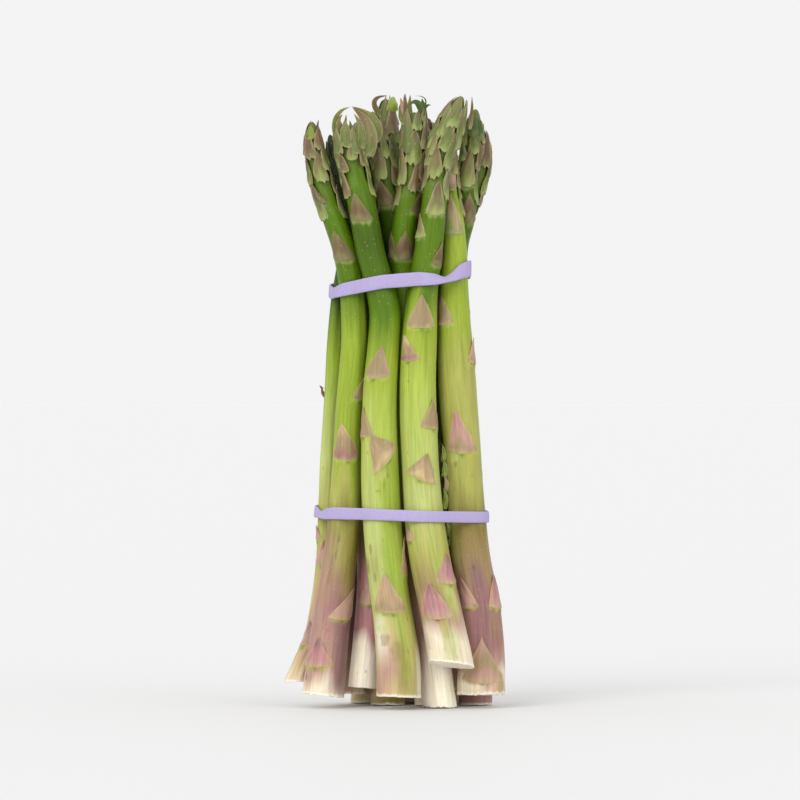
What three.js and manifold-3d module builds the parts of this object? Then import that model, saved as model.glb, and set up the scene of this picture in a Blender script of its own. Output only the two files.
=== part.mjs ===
// A bundle of green asparagus standing on its cut ends, tied with two flat lilac rubber bands.
// Millimetres, +Z up towards the tips. The front of the bundle faces -Y, and +X is its right.
// The origin is on the surface that the bundle stands on, under the middle of its box.
import * as THREE from "three";
import Module from "manifold-3d";

const wasm = await Module();
wasm.setup();

// Each spear is one grown piece: a stem with its triangular scale leaves and a bud of overlapping scales.
// way: height, right and back of points on its centre line. girth: height and radius along the stem.
// neck and top: where the bud starts and ends. head: the bud's radius. turn: where its leaf spiral starts.
// hold: how firmly the spear keeps its place when its neighbours press on it, from 0 to 1.
// leaves: base height, facing angle (0 is the front, 90 the right), lean and length of each scale leaf.
const spears = [
  {
    name: "spear_front_left",
    way: [
      [0, -28.8, -17], [20, -26.8, -16], [46, -23.6, -13.8], [69, -21, -11.4], [103, -19.7, -10.4],
      [121, -18.3, -9.8], [132, -17.6, -9.4], [146, -18, -9.2], [154, -19, -9.2], [164, -21.1, -9.4],
      [171, -23.4, -9.6], [185, -28.1, -10.2], [200, -31.6, -10.6], [210, -32.4, -10.8],
    ],
    girth: [[0, 7.6], [20, 7.2], [46, 6.4], [75, 5.6], [98, 4.7], [150, 4.6], [181, 4.3]],
    foot: 4.5, neck: 181, top: 210, head: 3.9, turn: 20, hold: 0.9,
    leaves: [[16, -19, -27, 10], [33, 35, 45, 11], [90, -4, 0, 12.5], [111, 62, 12, 9], [161, -20, 0, 10], [181, -62, 0, 8]],
  },
  {
    name: "spear_front_mid_left",
    way: [
      [0, -1.2, -27], [17, -1.4, -26], [31, -3, -24.4], [46, -5.2, -22], [69, -7.3, -19.4], [92, -7.9, -18],
      [113, -7.6, -17.2], [131, -6.2, -16.2], [142, -5.9, -15.6], [153, -8.4, -15.2], [164, -11.4, -15],
      [178, -14, -14.8], [192, -17.2, -14.4], [204, -19.2, -14], [215, -19.6, -13.6],
    ],
    girth: [[0, 8.1], [17, 7.8], [36, 7.1], [80, 6.8], [103, 6.2], [125, 5.8], [150, 5.4], [178, 5.1], [190, 4.9]],
    foot: 4.5, neck: 190, top: 215, head: 5.4, turn: 160, hold: 0.9,
    leaves: [[36, -2, -5, 13], [49, 72, 0, 13], [86, 8, -40, 9], [98, -66, 0, 10], [119, -22, 18, 11], [176, -12, 0, 10]],
  },
  {
    name: "spear_front_mid_right",
    way: [
      [15, 17.8, -29.6], [24, 16.2, -28.2], [39, 13.1, -25.4], [53, 10.2, -22.6], [69, 8.1, -19.6], [92, 6.4, -18],
      [121, 5.7, -16.8], [146, 7.3, -15.4], [164, 9.7, -14.8], [178, 11.6, -14.2], [192, 12.9, -13.6],
      [204, 15.8, -13], [214, 19.2, -12.6], [219, 21.4, -12.4],
    ],
    girth: [[15, 8.2], [31, 7.7], [60, 7.3], [76, 6.8], [103, 6.6], [131, 6.3], [146, 5.6], [171, 4.8], [185, 4.2], [191, 4]],
    foot: 16, footTilt: 0.2, neck: 191, top: 219, head: 5.7, turn: 75, hold: 0.9,
    leaves: [
      [34, -15, 0, 11.5], [46, 46, 8, 10], [60.5, -58, 0, 5], [82, 2, 24, 9], [101, 50, 0, 10], [124, -52, 0, 10],
      [137, -2, 0, 11], [159, 60, 0, 8], [169, -66, 0, 8], [178, 3, 0, 10],
    ],
  },
  {
    name: "spear_front_right",
    way: [
      [0, 28.4, -14.6], [24, 28.3, -14], [39, 27.3, -13.2], [53, 25, -12], [69, 23.6, -10.8], [92, 22, -10],
      [114, 20, -9.4], [146, 19.1, -8.6], [164, 19.6, -8.2], [178, 19, -8], [190, 17.7, -7.4], [206, 16.8, -6.6],
    ],
    girth: [[0, 8.6], [20, 8.4], [40, 7.6], [60, 7], [78, 6.5], [115, 6.2], [132, 5.7], [150, 5.2], [168, 4.2], [184, 3]],
    foot: 4.5, neck: 184, top: 206, head: 3.3, turn: 310, hold: 0.9,
    leaves: [[11, 2, 0, 15], [37, -38, 0, 10], [37, 66, 0, 11], [90, 0, -12, 16], [124, 76, 0, 10], [138, -50, 0, 10], [171, -4, 0, 13]],
  },
  {
    name: "spear_left_thin",
    way: [
      [8, -39, -8.4], [17, -35.8, -7.2], [25, -32.4, -5.8], [39, -29.7, -4], [53, -27.9, -2.4], [69, -26.9, -0.6],
      [92, -25.8, -1], [113, -24.7, -1.6], [146, -22.7, -2], [160, -20.6, -1.6], [173, -19.7, -1], [182, -21.2, -0.4],
      [196, -24, 0.6], [206, -25.6, 1],
    ],
    girth: [[8, 4], [18, 3.4], [50, 3.3], [110, 3], [150, 2.8], [183, 2.6]],
    foot: 9, neck: 183, top: 206, head: 2.8, turn: 215, hold: 0.8,
    leaves: [[23, -40, 0, 8], [52, -8, 0, 8], [60.5, -75, 0, 5], [110, -78, 0, 9]],
  },
  {
    name: "spear_mid_left",
    way: [[6, -15, -9], [38, -12.9, -6], [69, -13.4, 0.2], [110, -12.4, 0.4], [153, -10.8, 0.2], [180, -13.4, 2.6], [208, -14.4, 3.4]],
    girth: [[6, 5.1], [40, 4.9], [69, 4.9], [150, 4.4], [184, 4]],
    foot: 7, neck: 184, top: 208, head: 4.1, turn: 40, hold: 0,
    leaves: [[38, 12, 0, 11]],
  },
  {
    name: "spear_mid_front",
    way: [
      [0, 14.2, -14], [24, 10.8, -12], [46, 5.5, -9], [69, -0.3, -6.6], [110, -0.5, -6], [153, -0.2, -5.6],
      [164, -1.3, -6], [182, 0.5, -6.4], [194, 2.9, -6.8], [204, 3.9, -7], [219, 3.2, -7],
    ],
    girth: [[0, 6.1], [46, 5.9], [69, 5.8], [150, 4.7], [187, 4.1]],
    neck: 187, top: 219, head: 5.1, turn: 130, hold: 0.3,
    leaves: [[162, -60, 0, 9], [178, 78, 0, 9]],
  },
  {
    name: "spear_mid_centre",
    way: [
      [0, -5, 4], [69, -3.2, 6.4], [110, -2.6, 6], [153, -2, 5], [170, -5.2, 2], [185, -7.8, -1], [194, -9.2, -2.5],
      [207, -12, -3.5], [214, -13, -3.5],
    ],
    girth: [[0, 6.2], [69, 5.7], [150, 4.6], [187, 3.9]],
    neck: 187, top: 214, head: 4.4, turn: 260, hold: 0.1,
    leaves: [[181, -30, 0, 9]],
  },
  {
    name: "spear_mid_right",
    way: [[0, 11, 3], [69, 9, 6.6], [110, 8.8, 5.6], [153, 8.4, 4.4], [180, 9, 2.4], [196, 9.2, 1.6], [212, 9.4, 1.6]],
    girth: [[0, 6.1], [69, 5.5], [150, 4.5], [186, 3.8]],
    neck: 186, top: 212, head: 4.2, turn: 340, hold: 0,
    leaves: [],
  },
  {
    name: "spear_short_inner",
    way: [[0, 21.5, -2.5], [30, 18.5, -3.5], [58, 14.8, -4.6], [97, 14.8, -4.6]],
    girth: [[0, 3.8], [40, 3.3], [60, 3]],
    foot: 6, neck: 60, top: 97, head: 3.1, turn: 0, hold: 0.5,
    leaves: [],
  },
  {
    name: "spear_back_right",
    way: [
      [0, 26.6, 5], [30, 26.4, 4.4], [69, 24.4, 3.6], [110, 21.6, 3.2], [153, 19.4, 2.2], [165, 20.4, 1.2], [176, 23.2, -0.4],
      [189, 23.3, -2], [203, 25.2, -2.6], [215, 26.2, -2.6],
    ],
    girth: [[0, 6.1], [40, 6], [69, 5.9], [110, 5.3], [150, 4.5], [170, 3.4], [190, 2.9]],
    neck: 190, top: 215, head: 4, turn: 95, hold: 0.8,
    leaves: [
      [22, 88, 0, 12], [48, 106, 0, 11], [84, 84, 0, 12], [104, 118, 0, 10], [132, 92, 0, 11], [175, 14, 0, 10],
      [188, -4, 0, 9],
    ],
  },
  {
    name: "spear_back_far_right",
    way: [
      [0, 18, 19.5], [69, 17.6, 15.8], [110, 16.4, 13.8], [153, 15.6, 11.2], [170, 21, 9], [183, 26.2, 7],
      [196, 28.9, 5.6], [209, 29, 5],
    ],
    girth: [[0, 6.9], [69, 6], [110, 5.5], [150, 4.6], [182, 3.7]],
    neck: 182, top: 209, head: 4.2, turn: 215, hold: 0.2,
    leaves: [
      [26, 150, 0, 12], [50, 108, 0, 11], [84, 140, 0, 12], [108, 175, 0, 11], [136, 118, 0, 11], [168, 158, 0, 10],
    ],
  },
  {
    name: "spear_back_mid_right",
    way: [[0, 3, 23.5], [69, 4.6, 20.4], [110, 4.2, 18.4], [153, 3.6, 15.6], [185, 2, 13.8], [213, 1.5, 12.8]],
    girth: [[0, 7.4], [40, 6.8], [69, 6.5], [110, 6], [150, 5.1], [187, 4.4]],
    neck: 187, top: 213, head: 4.9, turn: 145, hold: 0,
    leaves: [[15, 175, 0, 13], [38, -152, 0, 12], [80, 158, 0, 13], [104, -172, 0, 12], [132, 152, 0, 11], [172, 178, 0, 11]],
  },
  {
    name: "spear_back_mid_left",
    way: [
      [0, -12, 20], [69, -8.8, 19], [110, -8, 17.4], [153, -6.8, 14.6], [180, -5.4, 9.6], [200, -5, 6.6],
      [219, -5.2, 5.6],
    ],
    girth: [[0, 6.9], [40, 6.3], [69, 6], [110, 5.5], [150, 4.8], [188, 4.2]],
    neck: 188, top: 219, head: 4.7, turn: 10, hold: 0,
    leaves: [[24, -165, 0, 12], [46, 160, 0, 11], [84, 172, 0, 12], [112, -152, 0, 12], [138, -176, 0, 10], [170, 165, 0, 10]],
  },
  {
    name: "spear_back_left",
    way: [[0, -20.6, 6.5], [69, -20.2, 12], [110, -18.6, 11.2], [153, -16.4, 9], [185, -15.7, 10.6], [211, -16.2, 11.2]],
    girth: [[0, 7], [40, 6.4], [69, 6], [110, 5.4], [150, 4.8], [185, 4.4]],
    foot: 4, neck: 185, top: 211, head: 4.7, turn: 100, hold: 0,
    leaves: [[20, -122, 0, 12], [44, -150, 0, 12], [78, -95, 0, 11], [94, -132, 0, 12], [118, -163, 0, 11], [136, -112, 0, 10], [168, -140, 0, 10]],
  },
];

const bands = [
  { name: "band_lower", height: 69.3, rise: -0.03, width: 4.2 }, // rise: slope from left to right
  { name: "band_upper", height: 152.7, rise: 0.13, width: 4.6 },
];
const bandThickness = 1.1;
const bandColour = 0xb9a9d6;

// Middle of the bundle's box, in the frame of the spears' places.
const middle = [-2.86, -3.63];
const sides = 10; // round a stem
const ringStep = 14; // between rings of a stem
const levelStep = 4; // between the heights where the spears are pressed together
const levels = 56;
const clearance = 0.65; // between neighbours when they have settled
const passes = 300;
const squeeze = 0.12; // how far a pass draws a loose spear inwards at a band
const gap = 0.3; // that stays free round leaves and bands
const finest = 0.05; // edges shorter than this are merged
const leafSpread = 52; // degrees to each side of the leaf's middle
const leafRise = 1.25; // of the middle of a leaf above the stem
const goldenAngle = 137.5;
const budScales = 15;
const budCore = 0.78; // radius of the bud's core, as a share of the bud's
const scaleRise = 0.6; // of the middle of a bud scale above the bud's outline
const radians = Math.PI / 180;

// Value at height z of a smooth curve through knots, whose first number is a height. column picks the value.
function along(knots, z, column) {
  const last = knots.length - 1;
  if (z <= knots[0][0]) return knots[0][column];
  if (z >= knots[last][0]) return knots[last][column];
  const i = knots.findIndex((k) => k[0] > z) - 1;
  const slope = (j) => {
    const a = knots[Math.max(j - 1, 0)];
    const b = knots[Math.min(j + 1, last)];
    return (b[column] - a[column]) / (b[0] - a[0]);
  };
  const span = knots[i + 1][0] - knots[i][0];
  const t = (z - knots[i][0]) / span;
  const s = 1 - t;
  return (
    knots[i][column] * (1 + 2 * t) * s * s +
    knots[i + 1][column] * (3 - 2 * t) * t * t +
    slope(i) * span * t * s * s -
    slope(i + 1) * span * t * t * s
  );
}

const footOf = (spear) => spear.foot ?? 0;

// Radius of the stem, and above the neck of the bud's outline, which swells and then rounds off at the top.
function radiusAt(spear, z) {
  if (z <= spear.neck) return along(spear.girth, z, 1);
  const neckRadius = spear.girth[spear.girth.length - 1][1];
  const u = Math.min((z - spear.neck) / (spear.top - spear.neck), 1);
  const swell = THREE.MathUtils.smoothstep(u, 0, 0.5);
  return THREE.MathUtils.lerp(neckRadius, spear.head, swell) * Math.sqrt(Math.max(1 - u ** 3.4, 0));
}

// Settles the spears against each other, level by level, as they settle when the bands go on: near a band they
// are drawn together, and everywhere they are pressed apart until none overlap. Each spear keeps a smooth line,
// because its shifts are evened out along its length.
function settle() {
  const shifts = spears.map(() => Array.from({ length: levels }, () => [0, 0]));
  const stands = (spear, z) => z > footOf(spear) - levelStep && z < spear.top + levelStep;
  for (let pass = 0; pass < passes; pass++) {
    for (let level = 0; level < levels; level++) {
      const z = level * levelStep;
      const pull = pass < passes * 0.7 && bands.some((band) => Math.abs(z - band.height) < 9) ? squeeze : 0;
      const here = spears.map((spear, n) => ({
        shift: shifts[n][level],
        x: along(spear.way, z, 1) + shifts[n][level][0],
        y: along(spear.way, z, 2) + shifts[n][level][1],
        r: radiusAt(spear, Math.min(Math.max(z, footOf(spear)), spear.top - 6)) + (z > spear.neck - 5 ? scaleRise : 0),
        loose: 1 - spear.hold,
        on: stands(spear, z),
      }));
      const standing = here.filter((a) => a.on);
      const middleX = standing.reduce((sum, a) => sum + a.x, 0) / standing.length;
      const middleY = standing.reduce((sum, a) => sum + a.y, 0) / standing.length;
      here.forEach((a, n) => {
        const far = Math.hypot(a.x - middleX, a.y - middleY);
        a.shift[0] -= ((a.x - middleX) / far) * pull * a.loose;
        a.shift[1] -= ((a.y - middleY) / far) * pull * a.loose;
        for (const b of here.slice(n + 1)) {
          if (!a.on || !b.on) continue;
          const dx = b.x - a.x;
          const dy = b.y - a.y;
          const apart = Math.hypot(dx, dy);
          const push = a.r + b.r + clearance - apart;
          if (push <= 0) continue;
          const share = (a.loose + 0.05) / (a.loose + b.loose + 0.1);
          a.shift[0] -= (dx / apart) * push * share;
          a.shift[1] -= (dy / apart) * push * share;
          b.shift[0] += (dx / apart) * push * (1 - share);
          b.shift[1] += (dy / apart) * push * (1 - share);
        }
      });
    }
    for (const shift of shifts) {
      const before = shift.map((s) => [...s]);
      shift.forEach((s, level) => {
        const low = before[Math.max(level - 1, 0)];
        const high = before[Math.min(level + 1, levels - 1)];
        s[0] = (low[0] + 2 * before[level][0] + high[0]) / 4;
        s[1] = (low[1] + 2 * before[level][1] + high[1]) / 4;
      });
    }
  }
  spears.forEach((spear, n) => (spear.shift = shifts[n]));
}

// Centre of the spear at height z, once it has settled.
function centreAt(spear, z) {
  const f = Math.min(Math.max(z / levelStep, 0), levels - 1);
  const low = Math.floor(f);
  const high = Math.min(low + 1, levels - 1);
  const t = f - low;
  const shift = (k) => spear.shift[low][k] * (1 - t) + spear.shift[high][k] * t;
  return [along(spear.way, z, 1) + shift(0) - middle[0], along(spear.way, z, 2) + shift(1) - middle[1]];
}

// Point at height z, facing the given angle (0 is the front, 90 the right), at a distance beyond the surface.
function pointOn(spear, z, facing, beyond) {
  const [x, y] = centreAt(spear, z);
  const r = radiusAt(spear, z) + beyond;
  return [x + r * Math.sin(facing * radians), y - r * Math.cos(facing * radians), z];
}

function solid(points, faces) {
  return new wasm.Manifold(
    new wasm.Mesh({
      numProp: 3,
      vertProperties: new Float32Array(points.flat()),
      triVerts: new Uint32Array(faces.flat()),
    }),
  );
}

const bandAt = (band, x) => band.height + band.rise * x;

// Heights of a stem's rings, with one at each edge of the bands, so that the stem is true where they press on it.
function ringHeights(spear) {
  const stops = [footOf(spear), spear.neck];
  for (const band of bands) {
    const middle = bandAt(band, centreAt(spear, band.height)[0]);
    stops.push(middle - band.width / 2 - 0.5, middle + band.width / 2 + 0.5);
  }
  const used = stops.filter((z) => z <= spear.neck).sort((a, b) => a - b);
  const heights = [used[0]];
  for (let i = 1; i < used.length; i++) {
    const steps = Math.ceil((used[i] - used[i - 1]) / ringStep);
    for (let k = 1; k <= steps; k++) heights.push(THREE.MathUtils.lerp(used[i - 1], used[i], k / steps));
  }
  return heights;
}

// Stem from its cut end to the core of its bud, as rings that lie level, apart from a slanting cut end.
function stemSolid(spear) {
  const foot = footOf(spear);
  const heights = ringHeights(spear);
  const budHeights = [0.3, 0.6, 0.85].map((u) => spear.neck + (spear.top - spear.neck) * u);
  const points = [];
  for (const z of [...heights, ...budHeights]) {
    const shrink = z > spear.neck ? budCore : 1;
    const [x, y] = centreAt(spear, z);
    const r = radiusAt(spear, z) * shrink;
    for (let i = 0; i < sides; i++) {
      const turn = (i / sides) * 2 * Math.PI;
      const lift = z === foot ? -(spear.footTilt ?? 0) * r * Math.sin(turn) : 0;
      points.push([x + r * Math.cos(turn), y + r * Math.sin(turn), z + lift]);
    }
  }
  const last = points.length - sides;
  points.push([...centreAt(spear, foot), foot], [...centreAt(spear, spear.top), spear.top]);
  const faces = [];
  for (let i = 0; i < sides; i++) {
    const next = (i + 1) % sides;
    for (let a = 0; a < last; a += sides) {
      faces.push([a + i, a + next, a + sides + next], [a + i, a + sides + next, a + sides + i]);
    }
    faces.push([points.length - 2, next, i], [points.length - 1, last + i, last + next]);
  }
  return solid(points, faces);
}

// Scale leaf pressed to the stem: a curved base, a middle row and a point, with its root inside the stem.
function leafSolid(spear, leaf) {
  const { z, facing, lean, length, spread, rise } = leaf;
  const at = (h, a, beyond) => pointOn(spear, z + h * length, facing + a * spread + lean * h, beyond);
  const points = [
    at(0.16, -1, 0.2), at(0, -0.55, rise * 0.8), at(-0.05, 0, rise), at(0, 0.55, rise * 0.8), at(0.16, 1, 0.2),
    at(0.5, -0.55, rise * 0.6), at(0.45, 0, rise), at(0.5, 0.55, rise * 0.6),
    at(1, 0, rise * 0.7), at(0.4, 0, -2.4),
  ];
  const faces = [
    [0, 1, 5], [1, 2, 6], [1, 6, 5], [2, 3, 6], [3, 7, 6], [3, 4, 7], [5, 6, 8], [6, 7, 8],
    [9, 1, 0], [9, 2, 1], [9, 3, 2], [9, 4, 3], [9, 7, 4], [9, 8, 7], [9, 5, 8], [9, 0, 5],
  ];
  return solid(points, faces);
}

// Scale of the bud: a keeled, pointed shard that overlaps the scales above it.
function scaleSolid(spear, scale) {
  const { z, facing, length, spread, rise } = scale;
  const at = (h, a, beyond) => pointOn(spear, Math.min(z + h * length, spear.top), facing + a * spread, beyond);
  const points = [
    at(-0.1, 0, -0.3), at(0.28, -1, -0.35), at(0.28, 1, -0.35), at(0.35, 0, rise), at(1, 0, rise * 1.3),
    at(0.35, 0, -2.2),
  ];
  const faces = [[0, 2, 3], [2, 4, 3], [4, 1, 3], [1, 0, 3], [5, 0, 1], [5, 1, 4], [5, 4, 2], [5, 2, 0]];
  return solid(points, faces);
}

// The bud's scales climb in a spiral, and get shorter and closer towards the top.
function scalesOf(spear) {
  return Array.from({ length: budScales }, (_, i) => {
    const t = i / budScales;
    const height = spear.top - spear.neck;
    return {
      z: spear.neck - 3 + height * 0.92 * t ** 0.95,
      facing: spear.turn + goldenAngle * i,
      length: (10.5 - 5 * t) * (height / 27),
      spread: 36 + 16 * t,
      rise: scaleRise,
    };
  });
}

// A leaf is left off where a neighbour or a band presses on the stem.
function isFree(spear, leaf) {
  const [x] = centreAt(spear, leaf.z);
  const underBand = bands.some((band) => {
    const middle = bandAt(band, x);
    return leaf.z - 1.5 < middle + band.width / 2 && leaf.z + leaf.length + 0.8 > middle - band.width / 2;
  });
  if (underBand) return false;
  const spots = [[0, -0.8], [0, 0], [0, 0.8], [0.5, -0.5], [0.5, 0], [0.5, 0.5], [1, 0]];
  return spots.every(([h, a]) => {
    const z = leaf.z + h * leaf.length;
    const [px, py] = pointOn(spear, z, leaf.facing + a * leaf.spread + leaf.lean * h, leaf.rise + gap);
    return spears.every((other) => {
      if (other === spear || z < footOf(other) - 2 || z > other.top + 2) return true;
      const [cx, cy] = centreAt(other, z);
      return Math.hypot(px - cx, py - cy) > radiusAt(other, Math.min(z, other.top - 6)) + gap + leafRise;
    });
  });
}

function leavesOf(spear) {
  return spear.leaves
    .map(([z, facing, lean, length]) => ({ z, facing, lean, length, spread: leafSpread, rise: leafRise }))
    .filter((leaf) => isFree(spear, leaf));
}

function meshOf(body, name, colour, roughness) {
  const { vertProperties, triVerts } = body.asOriginal().simplify(finest).getMesh();
  const geometry = new THREE.BufferGeometry();
  geometry.setAttribute("position", new THREE.BufferAttribute(vertProperties, 3));
  geometry.setIndex(new THREE.BufferAttribute(triVerts, 1));
  const material = new THREE.MeshStandardMaterial({ color: colour, roughness, metalness: 0 });
  const mesh = new THREE.Mesh(geometry, material);
  mesh.name = name;
  return mesh;
}

function spearMesh(spear) {
  const pieces = [
    ...leavesOf(spear).map((leaf) => leafSolid(spear, leaf)),
    ...scalesOf(spear).map((scale) => scaleSolid(spear, scale)),
  ];
  const body = pieces.reduce((whole, piece) => whole.add(piece), stemSolid(spear));
  return meshOf(body, spear.name, 0x9bb04a, 0.5);
}

// Outline that a stretched band takes round the spears: the corners of their convex hull at its height.
function bandOutline(band, beyond) {
  const spots = [];
  for (const spear of spears) {
    for (const part of [-0.5, 0, 0.5]) {
      const z = bandAt(band, centreAt(spear, band.height)[0]) + part * band.width;
      if (z > spear.top) continue;
      const [x, y] = centreAt(spear, z);
      const r = radiusAt(spear, z) + beyond;
      for (let i = 0; i < 40; i++) {
        const turn = (i / 40) * 2 * Math.PI;
        spots.push([x + r * Math.cos(turn), y + r * Math.sin(turn)]);
      }
    }
  }
  spots.sort((a, b) => a[0] - b[0] || a[1] - b[1]);
  const cross = (o, a, b) => (a[0] - o[0]) * (b[1] - o[1]) - (a[1] - o[1]) * (b[0] - o[0]);
  const half = (list) => {
    const kept = [];
    for (const p of list) {
      while (kept.length > 1 && cross(kept.at(-2), kept.at(-1), p) <= 0) kept.pop();
      kept.push(p);
    }
    return kept.slice(0, -1);
  };
  return [...half(spots), ...half(spots.toReversed())];
}

const bandPoints = 60; // round a band

// Even steps round a closed outline.
function evened(outline) {
  const ends = outline.map((p, i) => outline[(i + 1) % outline.length]);
  const lengths = outline.map((p, i) => Math.hypot(ends[i][0] - p[0], ends[i][1] - p[1]));
  const whole = lengths.reduce((a, b) => a + b, 0);
  const found = [];
  let start = 0;
  outline.forEach((p, i) => {
    while (found.length < bandPoints && (found.length * whole) / bandPoints < start + lengths[i]) {
      const t = ((found.length * whole) / bandPoints - start) / lengths[i];
      found.push([p[0] + (ends[i][0] - p[0]) * t, p[1] + (ends[i][1] - p[1]) * t]);
    }
    start += lengths[i];
  });
  return found;
}

function bandMesh(band) {
  const inner = evened(bandOutline(band, gap + 0.15));
  const outer = inner.map((p, i) => {
    const before = inner[(i + bandPoints - 1) % bandPoints];
    const after = inner[(i + 1) % bandPoints];
    const span = Math.hypot(after[0] - before[0], after[1] - before[1]);
    return [
      p[0] + ((after[1] - before[1]) / span) * bandThickness,
      p[1] - ((after[0] - before[0]) / span) * bandThickness,
    ];
  });
  const ring = (outline, part) => outline.map(([x, y]) => [x, y, bandAt(band, x) + part * band.width]);
  const points = [...ring(inner, -0.5), ...ring(outer, -0.5), ...ring(outer, 0.5), ...ring(inner, 0.5)];
  const faces = [];
  for (let i = 0; i < bandPoints; i++) {
    const next = (i + 1) % bandPoints;
    for (let corner = 0; corner < 4; corner++) {
      const a = corner * bandPoints;
      const b = ((corner + 1) % 4) * bandPoints;
      faces.push([a + i, a + next, b + next], [a + i, b + next, b + i]);
    }
  }
  return meshOf(solid(points, faces), band.name, bandColour, 0.7);
}

settle();
const bundle = new THREE.Group();
bundle.name = "asparagus_bundle";
bundle.add(...spears.map(spearMesh), ...bands.map(bandMesh));

export default bundle;
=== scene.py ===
import math
import bpy
import numpy as np
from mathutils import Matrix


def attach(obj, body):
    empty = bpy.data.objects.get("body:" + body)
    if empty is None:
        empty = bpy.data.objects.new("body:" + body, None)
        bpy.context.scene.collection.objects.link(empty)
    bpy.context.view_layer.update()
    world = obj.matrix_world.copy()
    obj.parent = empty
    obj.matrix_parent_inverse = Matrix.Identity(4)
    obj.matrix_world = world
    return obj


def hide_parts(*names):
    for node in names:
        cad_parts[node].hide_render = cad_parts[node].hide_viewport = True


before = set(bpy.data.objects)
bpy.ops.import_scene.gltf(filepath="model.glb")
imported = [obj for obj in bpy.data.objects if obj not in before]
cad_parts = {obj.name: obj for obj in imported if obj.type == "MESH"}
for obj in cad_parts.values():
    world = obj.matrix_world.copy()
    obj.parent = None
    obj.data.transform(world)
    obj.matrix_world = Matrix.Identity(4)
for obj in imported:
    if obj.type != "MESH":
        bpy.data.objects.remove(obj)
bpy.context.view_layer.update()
mm = 0.001  # the tables below are in millimetres

# The camera looks level at the standing bundle from the front.
photoView = {"lens": 250, "sensor": 36, "distance": 1987, "across": 2.2, "depth": -11.4, "height": 110.2}
eye = (photoView["across"], photoView["depth"] - photoView["distance"], photoView["height"])
bpy.ops.object.camera_add(location=[place * mm for place in eye], rotation=(math.radians(90), 0, 0))
camera = bpy.context.object
camera.data.lens = photoView["lens"]
camera.data.sensor_width = photoView["sensor"]
bpy.context.scene.camera = camera
bpy.context.scene.view_settings.view_transform = "Standard"

# Colours of the skin, in sRGB.
palette = {
    # Painted shade: the first green is near-black, standing for the shadow on a thin spear's top rather than
    # the skin's own colour.
    "paintedShadeGreen": (44, 54, 32),
    "leafGreen": (66, 94, 6),
    "grass": (86, 120, 6),
    "fresh": (148, 170, 52),
    "lime": (170, 188, 80),
    "pale": (184, 194, 118),
    "straw": (168, 170, 88),
    "olive": (130, 116, 56),
    "clay": (152, 130, 90),
    "rose": (184, 148, 136),
    "mauve": (156, 114, 112),
    "tan": (158, 138, 106),
    "plum": (128, 96, 98),
    "cream": (232, 220, 200),
    "ivory": (248, 244, 234),
    "moss": (102, 110, 60),
    # Partly painted shade: this purple-brown is a tip's own purple, darkened to stand for shadow.
    "purpleAndPaintedShade": (92, 72, 52),
    "sand": (196, 176, 130),
    "sunny": (148, 164, 86),
    "lilac": (176, 164, 206),
    "sap": (140, 154, 86),
    "husk": (126, 120, 80),
    "umber": (112, 90, 68),
    "fringe": (178, 174, 132),
    "reed": (106, 118, 66),
    "fern": (72, 90, 48),
    "blush": (184, 132, 136),
    "wine": (140, 104, 108),
    "shell": (246, 236, 222),
    "bone": (255, 248, 232),
    "beige": (178, 154, 120),
    "mustard": (142, 154, 56),
    "meadow": (124, 136, 62),
}

# From the base of a leaf or scale to its tip, then its edge.
tones = {
    "purple": ("sap", "husk", "umber", "fringe"),
    "brown": ("husk", "umber", "umber", "fringe"),
    "moss": ("sap", "reed", "umber", "fringe"),
    "green": ("sap", "reed", "reed", "fringe"),
    "grey": ("reed", "reed", "husk", "husk"),
    "striped": ("sap", "reed", "husk", "fringe"),
    "yellow": ("mustard", "sunny", "sunny", "lime"),
    "ochre": ("meadow", "meadow", "meadow", "straw"),
    "muted": ("reed", "husk", "umber", "fringe"),
    "mutedGreen": ("reed", "reed", "husk", "fringe"),
    "dry": ("moss", "reed", "husk", "sand"),
    # Painted shade: the dark tone is a near-black green, for scales that stand in shadow.
    "dark": ("paintedShadeGreen", "paintedShadeGreen", "paintedShadeGreen", "moss"),
    "pink": ("husk", "rose", "tan", "sand"),
    "leafHigh": ("husk", "umber", "husk", "husk"),
    "shade": ("reed", "fern", "fern", "reed"),
    "lush": ("lime", "sap", "sap", "pale"),
    "pinkish": ("sap", "beige", "tan", "fringe"),
    "leaf": ("tan", "tan", "tan", "sand"),
    "leafMauve": ("mauve", "tan", "sand", "sand"),
    "leafPink": ("tan", "rose", "blush", "sand"),
    "leafLow": ("rose", "rose", "mauve", "sand"),
    "leafBlush": ("rose", "blush", "wine", "sand"),
    "leafFoot": ("rose", "tan", "rose", "sand"),
    "leafDry": ("sand", "beige", "tan", "tan"),
    "leafTan": ("tan", "beige", "rose", "sand"),
}


def linear(name):
    channels = np.array(palette[name]) / 255
    return np.where(channels <= 0.04045, channels / 12.92, ((channels + 0.055) / 1.055) ** 2.4)


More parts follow.
